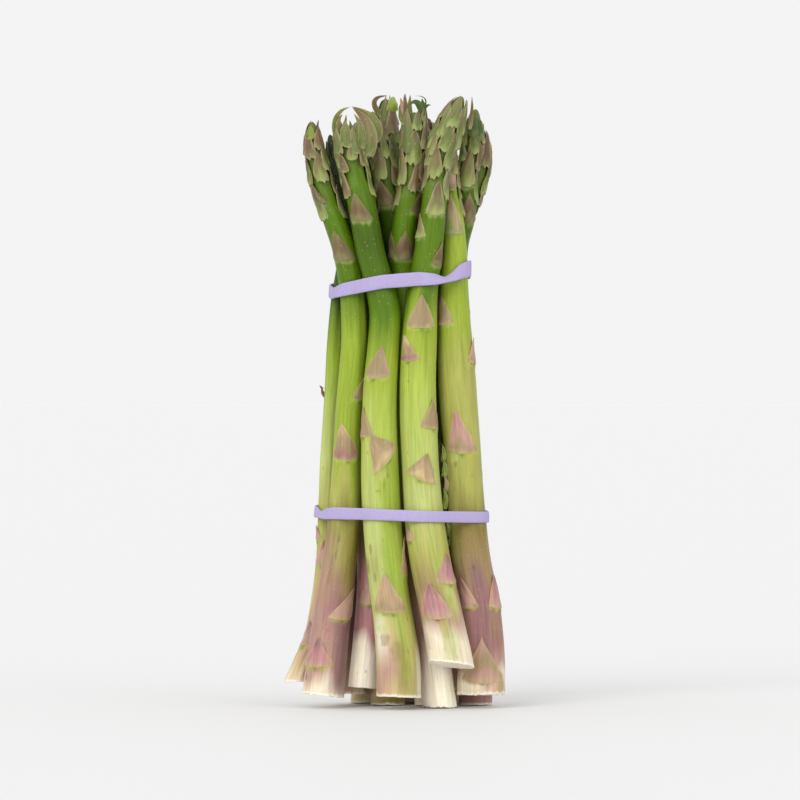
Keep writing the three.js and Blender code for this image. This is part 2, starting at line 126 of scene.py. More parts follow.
# A spear's way holds height, right and back of points on its centre line, and girth its height and radius.
# It is cut at foot. footTilt and footSlope raise the front and the right of the cut, and fray is how far its
# fibres stand out. neck and top are where the bud starts and ends, head is its radius, and coreTop is the top
# of the core in an open bud. turn starts the spiral of its scales, and tones are theirs. hold says how well a
# spear keeps its place when the bundle settles, from 0 to 1.
# leaves hold base height, facing (0 the front, 90 the right), lean and length of the scale leaves, and some
# their tone, how far the right of their base rises, half width as a share of the length, and taper.
# scales hold across and height of a front bud scale's base and tip, its half width, flare and tone.
# curls hold three points (across, depth from the spear's middle, height), half width and tone of a scrap.
# tints hold the colours up the stem. patches hold facing, half width in degrees, low, high, colour, strength.
# marks hold across, height, half width, half height, colour and strength of scars and spots.
spears = [{
    "name": "spear_front_left",
    "way": [
        (0, -28.8, -17), (20, -26.8, -16), (46, -23.6, -13.8), (69, -21, -11.4), (103, -19.7, -10.4),
        (121, -18.3, -9.8), (132, -17.6, -9.4), (146, -18, -9.2), (154, -19, -9.2), (164, -21.1, -9.4),
        (171, -23.4, -9.6), (185, -28.1, -10.2), (200, -31.6, -10.6), (210, -32.4, -10.8),
    ],
    "girth": [(0, 7.6), (20, 7.2), (46, 6.4), (75, 5.6), (98, 4.7), (150, 4.6), (181, 4.3)],
    "foot": 4.5, "footSlope": -0.12, "fray": 0.6, "neck": 181, "top": 210, "head": 3.9, "turn": 20,
    "hold": 0.9,
    "leaves": [
        (16, -30, 0, 9.8, "leafBlush", 0, 0.68, 1.1), (33, 35, 45, 11),
        (90, -4, -23, 12, "leafMauve", 0, 0.5, 0.9), (111, 62, 12, 9), (161, -20, 0, 10), (181, -62, 0, 8),
    ],
    "scales": [
        (-30, 197.5, -30.8, 205.3, 2.5, 0.5, "brown"), (-26.8, 201, -27.5, 207.8, 1.8, 0.4, "brown"),
        (-25.9, 189.6, -27.5, 199.2, 2.5, 0.3, "purple"), (-30.6, 188.5, -31.5, 196, 1.6, 0.3, "moss"),
        (-24, 193.9, -26.1, 202.5, 1.6, 0.3, "moss"), (-30.2, 204, -29.7, 208.4, 1.8, 0.3, "ochre"),
    ],
    "curls": [
        ((-28.1, -0.5, 205.3), (-27.5, -1, 207.8), (-27, -1.5, 210.7), 0.7, "brown"),
        ((-29, -0.5, 206.8), (-29, -0.8, 208.2), (-29.2, -1, 210), 0.4, "brown"),
    ],
    "tints": [
        (4, "cream"), (9, "cream"), (15, "rose"), (34, "mauve"), (48, "clay"), (60, "olive"), (76, "straw"),
        (92, "fresh"), (130, "fresh"), (152, "grass"), (180, "grass"), (205, "moss"),
    ],
    "patches": [
        (58, 40, 5, 40, "plum", 0.75), (-50, 30, 14, 62, "rose", 0.5), (45, 30, 44, 66, "olive", 0.5),
        (0, 30, 50, 70, "straw", 0.4), (42, 30, 68, 96, "mustard", 0.45),
    ],
    "marks": [
        (-19.6, 60.5, 0.5, 1.4, "umber", 0.5), (-22.3, 50.6, 0.8, 6, "wine", 0.4),
        (-20.6, 55, 0.5, 2, "umber", 0.4), (-31.3, 11.4, 0.6, 1.1, "umber", 0.7),
        (-23.6, 28, 0.6, 1, "umber", 0.4), (-16.3, 89.2, 0.9, 0.7, "leafGreen", 0.7),
    ],
}, {
    "name": "spear_front_mid_left",
    "way": [
        (0, -1.2, -27), (17, -1.4, -26), (31, -3, -24.4), (46, -5.2, -22), (69, -7.3, -19.4),
        (92, -7.9, -18), (113, -7.6, -17.2), (131, -6.2, -16.2), (142, -5.9, -15.6), (153, -8.4, -15.2),
        (164, -11.4, -15), (178, -14, -14.8), (192, -17.2, -14.4), (204, -19.2, -14), (215, -19.6, -13.6),
    ],
    "girth": [
        (0, 8.1), (17, 7.8), (36, 7.1), (80, 6.8), (103, 6.2), (125, 5.8), (150, 5.4), (178, 5.1),
        (190, 4.9),
    ],
    "foot": 4.5, "footSlope": -0.04, "fray": 0.7, "neck": 190, "top": 215, "coreTop": 208.5, "head": 5.4,
    "turn": 160, "hold": 0.9,
    "leaves": [
        (36, -2, -5, 13, "leafTan", 0, 0.54, 1.2), (49, 80, 0, 13, "leafTan", 0, 0.3),
        (89, 24, -52, 8.5, "leafDry", 5.4, 0.56, 0.8), (98, -66, 0, 10), (119, -22, 18, 11),
        (175, -18, 0, 9.2),
    ],
    "scales": [
        (-14.8, 196.7, -15, 203.2, 1.9, 0.3, "purple"), (-17.9, 192.4, -19.3, 198.5, 2, 0.3, "brown"),
        (-10.7, 194.6, -12.2, 200.7, 1.2, 0.3, "brown"),
        (-16.8, 201.4, -17.5, 210.3, 2.6, 0.2, "mutedGreen"),
        (-13.6, 199.2, -15, 207.5, 2.2, 0.2, "mutedGreen"),
        (-8.6, 198.5, -11.4, 208.9, 2.6, 0.6, "mutedGreen"),
        (-19.7, 199.6, -20.4, 208.2, 1.8, 0.3, "mutedGreen"),
    ],
    "curls": [
        ((-20.2, -1, 203.5), (-20.6, -1.5, 211.3), (-15.6, -1.5, 215), 1.2, "dry"),
        ((-19.4, -2.2, 204), (-19.8, -2.6, 209.5), (-18.2, -2.2, 212.4), 1, "purple"),
        ((-6.4, -2, 203.2), (-7.4, -3.6, 210.4), (-15.2, -2, 215.2), 2.1, "dry"),
        ((-9.4, -3, 198.6), (-9.2, -4.8, 207.6), (-14.9, -2.6, 214.8), 2.9, "muted"),
        ((-11.4, -4.2, 200.6), (-11.6, -5, 207), (-14.4, -3.6, 212.6), 1.7, "mutedGreen"),
        ((-13.6, -4, 201.5), (-13.4, -4.4, 206), (-14, -3.6, 209.6), 1.2, "grey"),
        ((-17.3, -2.5, 205.4), (-17.3, -2.5, 209), (-17, -2.5, 212.3), 0.8, "brown"),
        ((-15.8, -3, 205), (-15.4, -3.2, 207.6), (-15.9, -3, 210.2), 0.9, "green"),
    ],
    "tints": [
        (4, "sand"), (12, "rose"), (24, "sand"), (36, "pale"), (60, "pale"), (100, "lime"), (125, "fresh"),
        (142, "grass"), (168, "leafGreen"), (188, "grass"), (208, "moss"),
    ],
    "patches": [
        (38, 44, 34, 90, "fresh", 0.85), (38, 40, 4, 40, "straw", 0.7), (22, 12, 10, 34, "fresh", 0.5),
        (10, 12, 6, 26, "olive", 0.4), (-50, 22, 18, 32, "ivory", 0.6), (-45, 25, 2, 22, "rose", 0.35),
        (-32, 16, 46, 56, "olive", 0.4), (-40, 26, 60, 112, "pale", 0.35), (70, 14, 4, 22, "ivory", 0.5),
    ],
    "marks": [
        (-3.3, 25.2, 2.3, 1.9, "umber", 0.42), (-4, 28.8, 2.4, 1.8, "pale", 0.5),
        (-3.8, 83.6, 1.3, 3, "pale", 0.5), (-2.3, 84.4, 0.4, 2.4, "umber", 0.35),
        (-3.4, 80.6, 0.5, 1.8, "umber", 0.35), (-5.6, 77.6, 1.4, 0.5, "umber", 0.4),
        (1.2, 21, 2.4, 4.2, "olive", 0.3), (4.5, 16, 1.6, 2.6, "olive", 0.2),
        (-8.3, 57.2, 0.8, 1.6, "olive", 0.5), (-9.2, 51.2, 1.2, 3, "olive", 0.5),
        (-6.6, 47, 0.5, 1.6, "umber", 0.4), (-3.1, 34.4, 1.1, 0.9, "leafGreen", 0.8),
        (-1.6, 34.4, 3, 1.2, "fresh", 0.6),
    ],
}, {
    "name": "spear_front_mid_right",
    "way": [
        (15, 17.8, -29.6), (24, 16.2, -28.2), (39, 13.1, -25.4), (53, 10.2, -22.6), (69, 8.1, -19.6),
        (92, 6.4, -18), (121, 5.7, -16.8), (146, 7.3, -15.4), (164, 9.7, -14.8), (178, 11.6, -14.2),
        (192, 12.9, -13.6), (204, 15.8, -13), (214, 19.2, -12.6), (219, 21.4, -12.4),
    ],
    "girth": [
        (15, 8.2), (31, 7.7), (60, 7.3), (76, 6.8), (103, 6.6), (131, 6.3), (146, 5.6), (171, 4.8),
        (185, 4.2), (191, 4),
    ],
    "foot": 16, "footTilt": 0.17, "footSlope": -0.12, "fray": 0.4, "neck": 191, "top": 219, "head": 5.7,
    "turn": 75, "hold": 0.9,
    "leaves": [
        (34, -15, 0, 11.5, "leafBlush", 0, 0.58, 1), (46, 46, 8, 10, "leafBlush", 0, 0.55, 1),
        (60.5, -58, 0, 5), (82.5, 0, 26, 8.8, "leafDry", -2.4, 0.64, 1), (101, 50, 0, 10),
        (125, -36, -20, 8.5, "leafMauve"), (137, -2, 0, 11), (159, 60, 0, 8), (169, -66, 0, 8, "purple"),
        (177.5, 12, 0, 11, "purple", 0, 0.34, 0.75),
    ],
    "scales": [
        (17, 205.3, 20.7, 216.1, 2.1, 0.3, "striped"), (18.2, 200.7, 21.8, 213.5, 2.6, 0.3, "moss"),
        (23.4, 201, 24.3, 214.6, 2.5, 0.3, "striped"), (13.4, 198.9, 16.5, 208.9, 1.7, 0.3, "purple"),
        (19.7, 194.2, 21.8, 205.7, 2.4, 0.3, "moss"), (14.1, 191, 15.4, 201.7, 2.8, 0.3, "purple"),
        (21.1, 208.9, 24, 218.9, 2.6, 0.2, "striped"), (25.8, 206.4, 25.8, 217.8, 1.8, 0.2, "striped"),
    ],
    "curls": [((27.2, -0.5, 207.8), (27.9, -1, 213.5), (27.9, -1.5, 218.9), 0.8, "brown")],
    "tints": [
        (15, "cream"), (27, "cream"), (34, "rose"), (43, "clay"), (56, "straw"), (74, "pale"),
        (118, "lime"), (136, "fresh"), (152, "grass"), (182, "grass"), (206, "moss"),
    ],
    "patches": [
        (14, 26, 15, 30, "pale", 0.4), (45, 22, 34, 46, "pale", 0.7), (-30, 30, 32, 42, "rose", 0.5),
        (30, 18, 38, 52, "pale", 0.4),
    ],
    "marks": [
        (13.3, 34, 1.8, 1.1, "fresh", 0.6), (18.2, 28.7, 1.9, 2.6, "straw", 0.6),
        (20, 23.6, 2.4, 7.6, "straw", 0.3), (19.9, 39.6, 0.7, 1.8, "fresh", 0.6),
        (12, 24, 2, 4, "rose", 0.35),
    ],
}, {
    "name": "spear_front_right",
    "way": [
        (0, 28.4, -14.6), (24, 28.3, -14), (39, 27.3, -13.2), (53, 25, -12), (69, 23.6, -10.8),
        (92, 22.1, -10), (114, 20.4, -9.4), (146, 19.1, -8.6), (164, 19.6, -8.2), (178, 19, -8),
        (190, 17.7, -7.4), (206, 16.8, -6.6),
    ],
    "girth": [
        (0, 8.6), (20, 8.4), (40, 7.6), (60, 7), (78, 6.6), (115, 6.8), (132, 6.2), (150, 5.3), (168, 4.2),
        (184, 3),
    ],
    "foot": 4.5, "fray": 1.5, "neck": 184, "top": 206, "head": 3.3, "turn": 310, "hold": 0.9,
    "scales": [
        (20.4, 186.6, 21.6, 196.4, 1.9, 0.3, "pink"), (21.4, 192.4, 22, 201.2, 1.8, 0.3, "purple"),
        (19, 192, 19.4, 201.6, 2, 0.2, "moss"), (17, 196.6, 17.2, 204, 2, 0.2, "moss"),
    ],
    "leaves": [
        (11, 2, 0, 15, "leafFoot", 0, 0.56, 1.3), (37, -38, 0, 10), (37, 66, 0, 11, "leafBlush"),
        (92.5, 0, -12, 14, "leafPink", 0, 0.42, 0.95), (124, 80, 0, 9, "leafPink"), (138, -50, 0, 10),
        (171, -4, 0, 13, "pinkish"),
    ],
    "tints": [
        (4, "sand"), (9, "cream"), (14, "rose"), (22, "mauve"), (40, "mauve"), (52, "clay"), (66, "olive"),
        (80, "straw"), (120, "straw"), (140, "fresh"), (160, "fresh"), (176, "fresh"), (200, "grass"),
    ],
    "patches": [
        (10, 22, 20, 52, "wine", 0.65), (-20, 24, 4, 13, "cream", 0.6), (30, 30, 4, 12, "rose", 0.6),
        (-45, 25, 18, 44, "rose", 0.5), (-60, 25, 50, 90, "pale", 0.3), (55, 25, 26, 60, "clay", 0.5),
        (-45, 18, 5, 12, "ivory", 0.5),
    ],
    "marks": [
        (28.6, 50.6, 0.6, 0.8, "umber", 0.6), (30.8, 12.2, 2.6, 0.6, "umber", 0.6),
        (28, 8.8, 4, 2.4, "cream", 0.6), (35.4, 11, 2.6, 1.8, "sand", 0.6), (24.7, 48, 0.8, 9, "wine", 0.4),
        (22, 87.6, 0.5, 2, "umber", 0.5), (21.6, 89.6, 1.5, 1.7, "pale", 0.7),
        (20.7, 78, 1.2, 12, "clay", 0.35),
    ],
}, {
    "name": "spear_left_thin",
    "way": [
        (8, -39, -8.4), (17, -35.8, -7.2), (25, -32.4, -5.8), (39, -29.8, -4), (53, -28.4, -2.4),
        (69, -28, -0.6), (92, -27, -1), (113, -25.8, -1.6), (146, -23.4, -2), (160, -20.8, -1.6),
        (173, -19.7, -1), (182, -21.2, -0.4), (196, -24, 0.6), (206, -25.6, 1),
    ],
    "girth": [(8, 4), (18, 3.4), (50, 3.3), (110, 3), (150, 2.8), (183, 2.6)],
    # Painted shade: this thin spear's dark scales and the near-black green at the top of its tints stand for
    # the shadow it stands in.
    "foot": 9, "neck": 183, "top": 206, "head": 2.8, "turn": 215, "hold": 0.8, "tones": ["dark"],
    "leaves": [(23, -40, 0, 8), (52, -8, 0, 8), (60.5, -75, 0, 5)],
    "tints": [
        (8, "cream"), (18, "sand"), (24, "rose"), (38, "sand"), (60, "straw"), (90, "pale"), (124, "fresh"),
        (145, "leafGreen"), (165, "paintedShadeGreen"), (200, "paintedShadeGreen"),
    ],
    "curls": [
        ((-23.8, 0, 111.4), (-25.5, -0.6, 112.6), (-26, -0.8, 115.4), 0.9, "brown"),
        ((-25.6, -0.6, 114.2), (-26.2, -0.8, 114.8), (-26.8, -0.8, 115.6), 0.5, "brown"),
    ],
}, {
    "name": "spear_mid_left",
    "way": [
        (6, -15, -9), (38, -12.9, -6), (69, -13.4, 0.2), (110, -12.4, 0.4), (153, -10.8, 0.2),
        (180, -13.4, 2.6), (208, -14.4, 3.4),
    ],
    "girth": [(6, 5.1), (40, 4.9), (69, 4.9), (150, 4.4), (184, 4)],
    "foot": 7, "footSlope": -0.08, "fray": 0.15, "neck": 184, "top": 208, "head": 4.1, "turn": 40,
    "leaves": [(38, 12, 0, 11)],
    "tints": [
        (7, "bone"), (18, "bone"), (24, "shell"), (29, "blush"), (46, "blush"), (58, "clay"), (90, "straw"),
        (150, "grass"),
    ],
}, {
    "name": "spear_mid_front",
    "way": [
        (0, 14.2, -14), (24, 10.8, -12), (46, 5.5, -9), (69, -0.3, -6.6), (110, -0.5, -6),
        (153, -0.2, -5.6), (164, -1.3, -6), (182, 0.5, -6.4), (194, 2.9, -6.8), (204, 3.9, -7),
        (219, 3.2, -7),
    ],
    "girth": [(0, 6.1), (46, 5.9), (69, 5.8), (150, 4.7), (187, 4.1)],
    "fray": 1.3, "neck": 187, "top": 219, "coreTop": 213.5, "head": 5.1, "turn": 130, "hold": 0.3,
    "leaves": [(162, -74, 0, 9), (161.5, 10, 0, 9.5), (178, 78, 0, 9)],
    "scales": [
        (7, 196, 7.5, 207.1, 3.1, 0.3, "moss"), (4.6, 200.7, 5, 215, 2.6, 0.5, "grey"),
        (2.3, 188.9, 2.9, 201.4, 2.6, 0.3, "purple"), (7.3, 186, 8.2, 195.3, 2, 0.3, "brown"),
        (10.7, 202.1, 11.1, 214.6, 1.6, 0.3, "brown"), (8.2, 207.5, 8.6, 213.9, 1.8, 0.2, "moss"),
    ],
    "curls": [
        ((4.4, -1, 211), (3.2, -1.5, 215.4), (2.3, -2, 218.6), 1.2, "pink"),
        ((4.6, -1.5, 211), (4.1, -2, 216.4), (4, -2.5, 220.2), 1.1, "brown"),
        ((5.4, -1, 210.8), (5.6, -1.5, 215.6), (5.9, -2, 219.7), 1.2, "striped"),
        ((3.4, -0.5, 210), (2.4, -1, 213.8), (2.6, -1.5, 216.8), 1.2, "moss"),
        ((10.8, -1.5, 211.6), (8.4, -2.5, 216.8), (5.6, -2.5, 215.8), 1.5, "shade"),
        ((10.4, -1, 210.8), (10.6, -1.5, 214.8), (10, -2, 218.4), 1.5, "shade"),
        ((10.2, -0.5, 213.2), (11.3, -1, 218), (7.5, -1.5, 219.2), 0.3, "shade"),
        ((10.6, -1, 213.2), (11.6, -1.5, 215.6), (13.4, -2, 215.8), 0.7, "shade"),
    ],
    "tints": [
        (0, "bone"), (16, "bone"), (26, "rose"), (60, "olive"), (100, "fresh"), (150, "grass"),
        (180, "grass"), (210, "moss"),
    ],
}, {
    "name": "spear_mid_centre",
    "way": [
        (0, -5, 4), (69, -3.2, 6.4), (110, -2.6, 6), (153, -2, 5), (170, -5.2, 2), (185, -7.8, -1),
        (194, -9.2, -2.5), (207, -12, -3.5), (214, -13, -3.5),
    ],
    "girth": [(0, 6.2), (69, 5.7), (150, 4.6), (187, 3.9)],
    "neck": 187, "top": 214, "head": 4.4, "turn": 260, "hold": 0.1,
    "leaves": [(181, -30, 0, 9)],
    "scales": [
        (-5.5, 190.7, -5.7, 201.4, 3.1, 0.3, "purple"), (-3.2, 198.5, -4.3, 208.2, 1.6, 0.2, "moss"),
        (-7.9, 199.6, -6.8, 207.5, 1.6, 0.2, "brown"),
    ],
    "tints": [
        (0, "olive"), (8, "sand"), (30, "plum"), (70, "straw"), (120, "fresh"), (150, "leafGreen"),
        (180, "leafGreen"), (205, "moss"),
    ],
}, {
    "name": "spear_mid_right",
    "way": [
        (0, 11, 3), (69, 9, 6.6), (110, 8.8, 5.6), (153, 8.4, 4.4), (180, 9, 2.4), (196, 9.2, 1.6),
        (212, 9.4, 1.6),
    ],
    "girth": [(0, 6.1), (69, 5.5), (150, 4.5), (186, 3.8)],
    "neck": 186, "top": 212, "head": 4.2, "turn": 340,
    # Partly painted shade: the dark purple-brown at the top is the tip's own purple, darkened for the shadow
    # it stands in behind the front spears.
    "tints": [
        (0, "cream"), (30, "plum"), (70, "straw"), (120, "fresh"), (150, "leafGreen"), (185, "purpleAndPaintedShade"),
        (208, "purpleAndPaintedShade"),
    ],
}, {
    "name": "spear_short_inner",
    "way": [(0, 21.5, -2.5), (30, 18.5, -3.5), (58, 14.8, -4.6), (97, 14.8, -4.6)],
    "girth": [(0, 3.8), (40, 3.3), (60, 3)],
    "foot": 6, "neck": 60, "top": 97, "head": 3.1, "turn": 0, "hold": 0.5,
    "tones": ["green", "yellow", "pink"],
    "curls": [
        ((19.6, -8.4, 61.6), (19.8, -9.4, 64), (18.8, -8.8, 67), 1.4, "yellow"),
        ((19.3, -8.2, 58.4), (20.1, -8.8, 60), (19.5, -8.6, 62.6), 0.8, "yellow"),
        ((18, -8.6, 71.6), (18.6, -9.4, 75), (17.8, -9, 78.4), 1.2, "lush"),
        ((18.6, -8.8, 77.6), (19, -9.6, 80), (17.8, -9.2, 83.4), 1.2, "pinkish"),
        ((17.9, -8.8, 83), (18.4, -9.6, 86), (17.4, -9, 89.6), 1.2, "lush"),
        ((17.4, -8.6, 88.4), (18, -9.4, 91), (17.2, -8.8, 94.6), 1.1, "lush"),
    ],
    "tints": [(0, "cream"), (20, "rose"), (40, "straw"), (58, "lime"), (90, "fresh")],
}, {
    "name": "spear_back_right",
    "way": [
        (0, 26.6, 5), (30, 26.4, 4.4), (69, 24.4, 3.6), (110, 21.6, 3.2), (153, 19.4, 2.2),
        (165, 20.4, 1.2), (176, 23.2, -0.4), (189, 23.3, -2), (203, 25.2, -2.6), (215, 26.2, -2.6),
    ],
    "girth": [(0, 6.1), (40, 6), (69, 5.9), (110, 5.3), (150, 4.5), (170, 3.4), (190, 2.9)],
    "neck": 190, "top": 215, "head": 4, "turn": 95, "hold": 0.8,
    "leaves": [
        (22, 88, 0, 12), (48, 106, 0, 11), (84, 84, 0, 12), (104, 118, 0, 10), (132, 92, 0, 11),
        (175, 14, 0, 10), (188, -4, 0, 9),
    ],
    "scales": [
        (24.9, 197.1, 24.7, 204.2, 1.7, 0.3, "moss"), (29.3, 199.6, 28.6, 207.8, 2.1, 0.3, "moss"),
        (26.1, 188.5, 27.5, 200.7, 2.9, 0.3, "purple"), (30.8, 193.9, 30.8, 203.2, 1.6, 0.3, "brown"),
        (28.6, 206, 28.3, 214.6, 2.3, 0.2, "shade"), (31.1, 204.2, 30.8, 211.4, 1.6, 0.2, "shade"),
    ],
    "tints": [
        (0, "mauve"), (20, "plum"), (40, "mauve"), (55, "clay"), (80, "straw"), (120, "fresh"),
        (155, "grass"), (188, "leafGreen"), (210, "moss"),
    ],
}, {
    "name": "spear_back_far_right",
    "way": [
        (0, 18, 19.5), (69, 17.6, 15.8), (110, 16.4, 13.8), (153, 15.6, 11.2), (170, 21, 9), (183, 26.2, 7),
        (196, 28.9, 5.6), (209, 29, 5),
    ],
    "girth": [(0, 6.9), (69, 6), (110, 5.5), (150, 4.6), (182, 3.7)],
    "neck": 182, "top": 209, "head": 4.2, "turn": 215, "hold": 0.2,
    "leaves": [
        (26, 150, 0, 12), (50, 108, 0, 11), (84, 140, 0, 12), (108, 175, 0, 11), (136, 118, 0, 11),
        (168, 158, 0, 10),
    ],
    "scales": [(34, 186, 34.7, 196, 1.7, 0.3, "moss"), (33.3, 195.7, 33.3, 206.4, 2.1, 0.3, "brown")],
    "tints": [
        (0, "cream"), (12, "rose"), (34, "mauve"), (60, "straw"), (95, "pale"), (130, "fresh"),
        (158, "grass"), (182, "grass"), (204, "moss"),
    ],
}, {
    "name": "spear_back_mid_right",
    "way": [
        (0, 3, 23.5), (69, 4.6, 20.4), (110, 4.2, 18.4), (153, 3.6, 15.6), (185, 2, 13.8), (213, 1.5, 12.8),
    ],
    "girth": [(0, 7.4), (40, 6.8), (69, 6.5), (110, 6), (150, 5.1), (187, 4.4)],
    "neck": 187, "top": 213, "head": 4.9, "turn": 145,
    "leaves": [
        (15, 175, 0, 13), (38, -152, 0, 12), (80, 158, 0, 13), (104, -172, 0, 12), (132, 152, 0, 11),
        (172, 178, 0, 11),
    ],
    "tints": [
        (0, "cream"), (16, "rose"), (30, "plum"), (55, "clay"), (78, "straw"), (112, "lime"),
        (145, "fresh"), (170, "grass"), (188, "grass"), (208, "moss"),
    ],
}, {
    "name": "spear_back_mid_left",
    "way": [
        (0, -12, 20), (69, -8.8, 19), (110, -8, 17.4), (153, -6.8, 14.6), (180, -5.4, 9.6), (200, -5, 6.6),
        (219, -5.2, 5.6),
    ],
    "girth": [(0, 6.9), (40, 6.3), (69, 6), (110, 5.5), (150, 4.8), (188, 4.2)],
    "neck": 188, "top": 219, "head": 4.7, "turn": 10,
    "leaves": [
        (24, -165, 0, 12), (46, 160, 0, 11), (84, 172, 0, 12), (112, -152, 0, 12), (138, -176, 0, 10),
        (170, 165, 0, 10),
    ],
    "scales": [
        (-0.7, 207.5, -1.1, 217.5, 2.5, 0.3, "brown"), (-3.2, 199.6, -3.9, 208.9, 2, 0.2, "brown"),
        (-0.4, 197.8, -0.4, 207.5, 2.4, 0.2, "green"),
    ],
    "curls": [
        ((-4.5, -2, 212.5), (-7, -3, 218), (-2.2, -2, 220), 1.2, "brown"),
        ((-0.3, -3.6, 214.6), (-0.5, -4.4, 217.6), (-0.1, -3.4, 219.7), 2.3, "yellow"),
        ((-2.5, -2, 215.3), (-2.9, -2.5, 217.8), (-2.9, -3, 220.7), 0.5, "pink"),
        ((-1.6, -2, 215.7), (-1.4, -2.5, 218.2), (-1.6, -3, 220.3), 0.5, "pink"),
    ],
    "tints": [
        (0, "sand"), (14, "cream"), (34, "rose"), (58, "straw"), (85, "pale"), (120, "fresh"),
        (150, "grass"), (182, "grass"), (210, "moss"),
    ],
}, {
    "name": "spear_back_left",
    "way": [
        (0, -20.6, 6.5), (69, -20.2, 12), (110, -18.6, 11.2), (153, -16.4, 9), (185, -15.7, 10.6),
        (211, -16.2, 11.2),
    ],
    "girth": [(0, 7), (40, 6.4), (69, 6), (110, 5.4), (150, 4.8), (185, 4.4)],
    "foot": 4, "fray": 0.2, "neck": 185, "top": 211, "head": 4.7, "turn": 100,
    "leaves": [
        (20, -122, 0, 12), (44, -150, 0, 12), (78, -95, 0, 11), (94, -132, 0, 12), (118, -163, 0, 11),
        (136, -112, 0, 10), (168, -140, 0, 10),
    ],
    "tints": [
        (0, "cream"), (10, "rose"), (28, "plum"), (50, "clay"), (72, "straw"), (105, "lime"),
        (140, "fresh"), (165, "grass"), (186, "leafGreen"), (206, "moss"),
    ],
}]

# course holds places along the front, from left to right: across, rise above the straight line, width, roll.
bands = {
    "band_lower": {
        "height": 69.3, "rise": -0.03, "width": 4.2, "thickness": 0.95,
        "course": [
            (-32, 0, 4.2, 0), (-27.6, -0.9, 3.4, 30), (-25.6, -0.9, 2.9, 48), (-23.8, -0.5, 4.2, 14),
            (-21, -0.2, 4.5, 0), (-8, 0, 4.1, 0), (10, -0.2, 4.1, 2), (30, -0.1, 4.1, 0), (36, 0, 4.1, 0),
        ],
    },
    "band_upper": {
        "height": 152.7, "rise": 0.13, "width": 4.6, "thickness": 0.95,
        "course": [
            (-26, -2.4, 4.2, 0), (-21.5, -1.6, 4.4, 20), (-18, -0.7, 4.8, 4), (-4, 0.2, 5, 0),
            (9, -0.5, 5, 0), (14.5, -1.3, 4.2, 22), (18, -1.9, 3, 62), (20.5, -1.2, 3.9, 48),
            (23.5, 0.4, 5.4, 16), (27, 1.2, 6, 0), (30, 1, 5.4, 0),
        ],
    },
}

# middle is that of the bundle's box, in the frame of the spears' places. squeezed is the share of the passes
# that press the spears together near the bands, and slack is how far a spear gives way that holds its place.
# A spear's line is worked out from below its foot to above its top, where it runs on straight from its tip.
bundle = {
    "middle": (-2.86, -3.63), "levels": 56, "levelStep": 4, "lineStep": 0.5, "below": 2, "above": 16,
    "passes": 300, "squeezed": 0.7, "squeeze": 0.12, "bandReach": 9, "slack": 0.05, "clearance": 0.65,
    "scaleRise": 0.6, "collar": 5, "tip": 6, "tipRun": 4,
}

# cut holds the rings of the cut end as shares of its radius, and tipRows the last rows, down from the tip.
# wander is how far the colours stray up or down, and fade the length over which a patch fades out. lip, spot
# and rim are the strengths of the green under a leaf, the dot in it and the pale rim of the cut.
stemForm = {
    "around": 60, "step": 1.0, "fineness": 1.5, "cut": (0, 0.25, 0.5, 0.72, 0.9), "budCore": 0.8,
    "tipStart": 1.2, "tipRows": (0.8, 0.4, 0.15, 0), "bulge": 0.32, "bumps": 0.1, "ridges": 0.05,
    "rough": 0.12, "hollow": 0.3, "footTilt": 0.04, "fray": 0.6, "fibre": 0.6, "frayRows": 6,
    "wander": 5, "fade": 10, "lip": 0.85, "spot": 0.7, "rim": 0.9,
}
# Leaves look different below low and above high, and widest limits a leaf's half width by its stem's radius.
leafForm = {
    "across": 10, "along": 14, "halfWidth": 0.52, "widest": 1.12, "low": 62, "high": 148, "clear": 0.9,
    "blade": {
        "rise": 0.45, "thickness": 0.3, "sag": 0.09, "lobes": 0.05, "belly": 0.1, "swelling": 0.1,
        "keel": 0.15,
    },
}
# Sizes are those of a bud of the given height and head. turn is the step of the spiral, stray how far a scale
# leaves it, and frontal how far a table of front scales reaches, all in degrees.
budForm = {
    "scales": 34, "across": 8, "along": 12, "halfWidth": 3.0, "length": 11.5, "shortest": 3, "rise": 0.5,
    "turn": 137.5, "stray": 8, "start": 7, "frontal": 62, "height": 27, "head": 4.6, "roundness": 3.4,
    "blade": {"thickness": 0.3, "sag": 0.1, "lobes": 0.16, "belly": 0.75, "keel": 0.3, "swelling": 0.25},
    "front": {"rise": 0.75, "sag": 0.06, "belly": 0.7, "swelling": 0.35},
}
# What leaves, scales and scraps share: how strong their streaks and edges are, and how uneven they are.
bladeForm = {
    "tip": 0.9, "tipStreaks": 0.6, "baseStreaks": 0.4, "edge": 0.5, "wander": 0.12, "uneven": 0.08,
    "ripple": 0.14, "sunk": 0.4, "curlCup": 0.5, "curlRipple": 0.16, "curlLobes": 0.1, "curlUneven": 0.1,
    "curlThickness": 0.3,
}


def smooth(t):
    t = np.clip(t, 0, 1)
    return t * t * (3 - 2 * t)


# Values at the given heights of a smooth curve through knots, whose first number is a height.
def curveAt(knots, heights):
    knots = np.array(knots, float)
    z = np.clip(heights, knots[0, 0], knots[-1, 0])
    low = np.vstack([knots[:1], knots[:-1]])
    high = np.vstack([knots[1:], knots[-1:]])
    slopes = (high[:, 1:] - low[:, 1:]) / (high[:, :1] - low[:, :1])
    i = np.clip(np.searchsorted(knots[:, 0], z, side="right") - 1, 0, len(knots) - 2)
    span = (knots[i + 1, 0] - knots[i, 0])[..., None]
    t = (z - knots[i, 0])[..., None] / span
    s = 1 - t
    return (
        knots[i, 1:] * (1 + 2 * t) * s * s + knots[i + 1, 1:] * (3 - 2 * t) * t * t
        + slopes[i] * span * t * s * s - slopes[i + 1] * span * t * t * s
    )


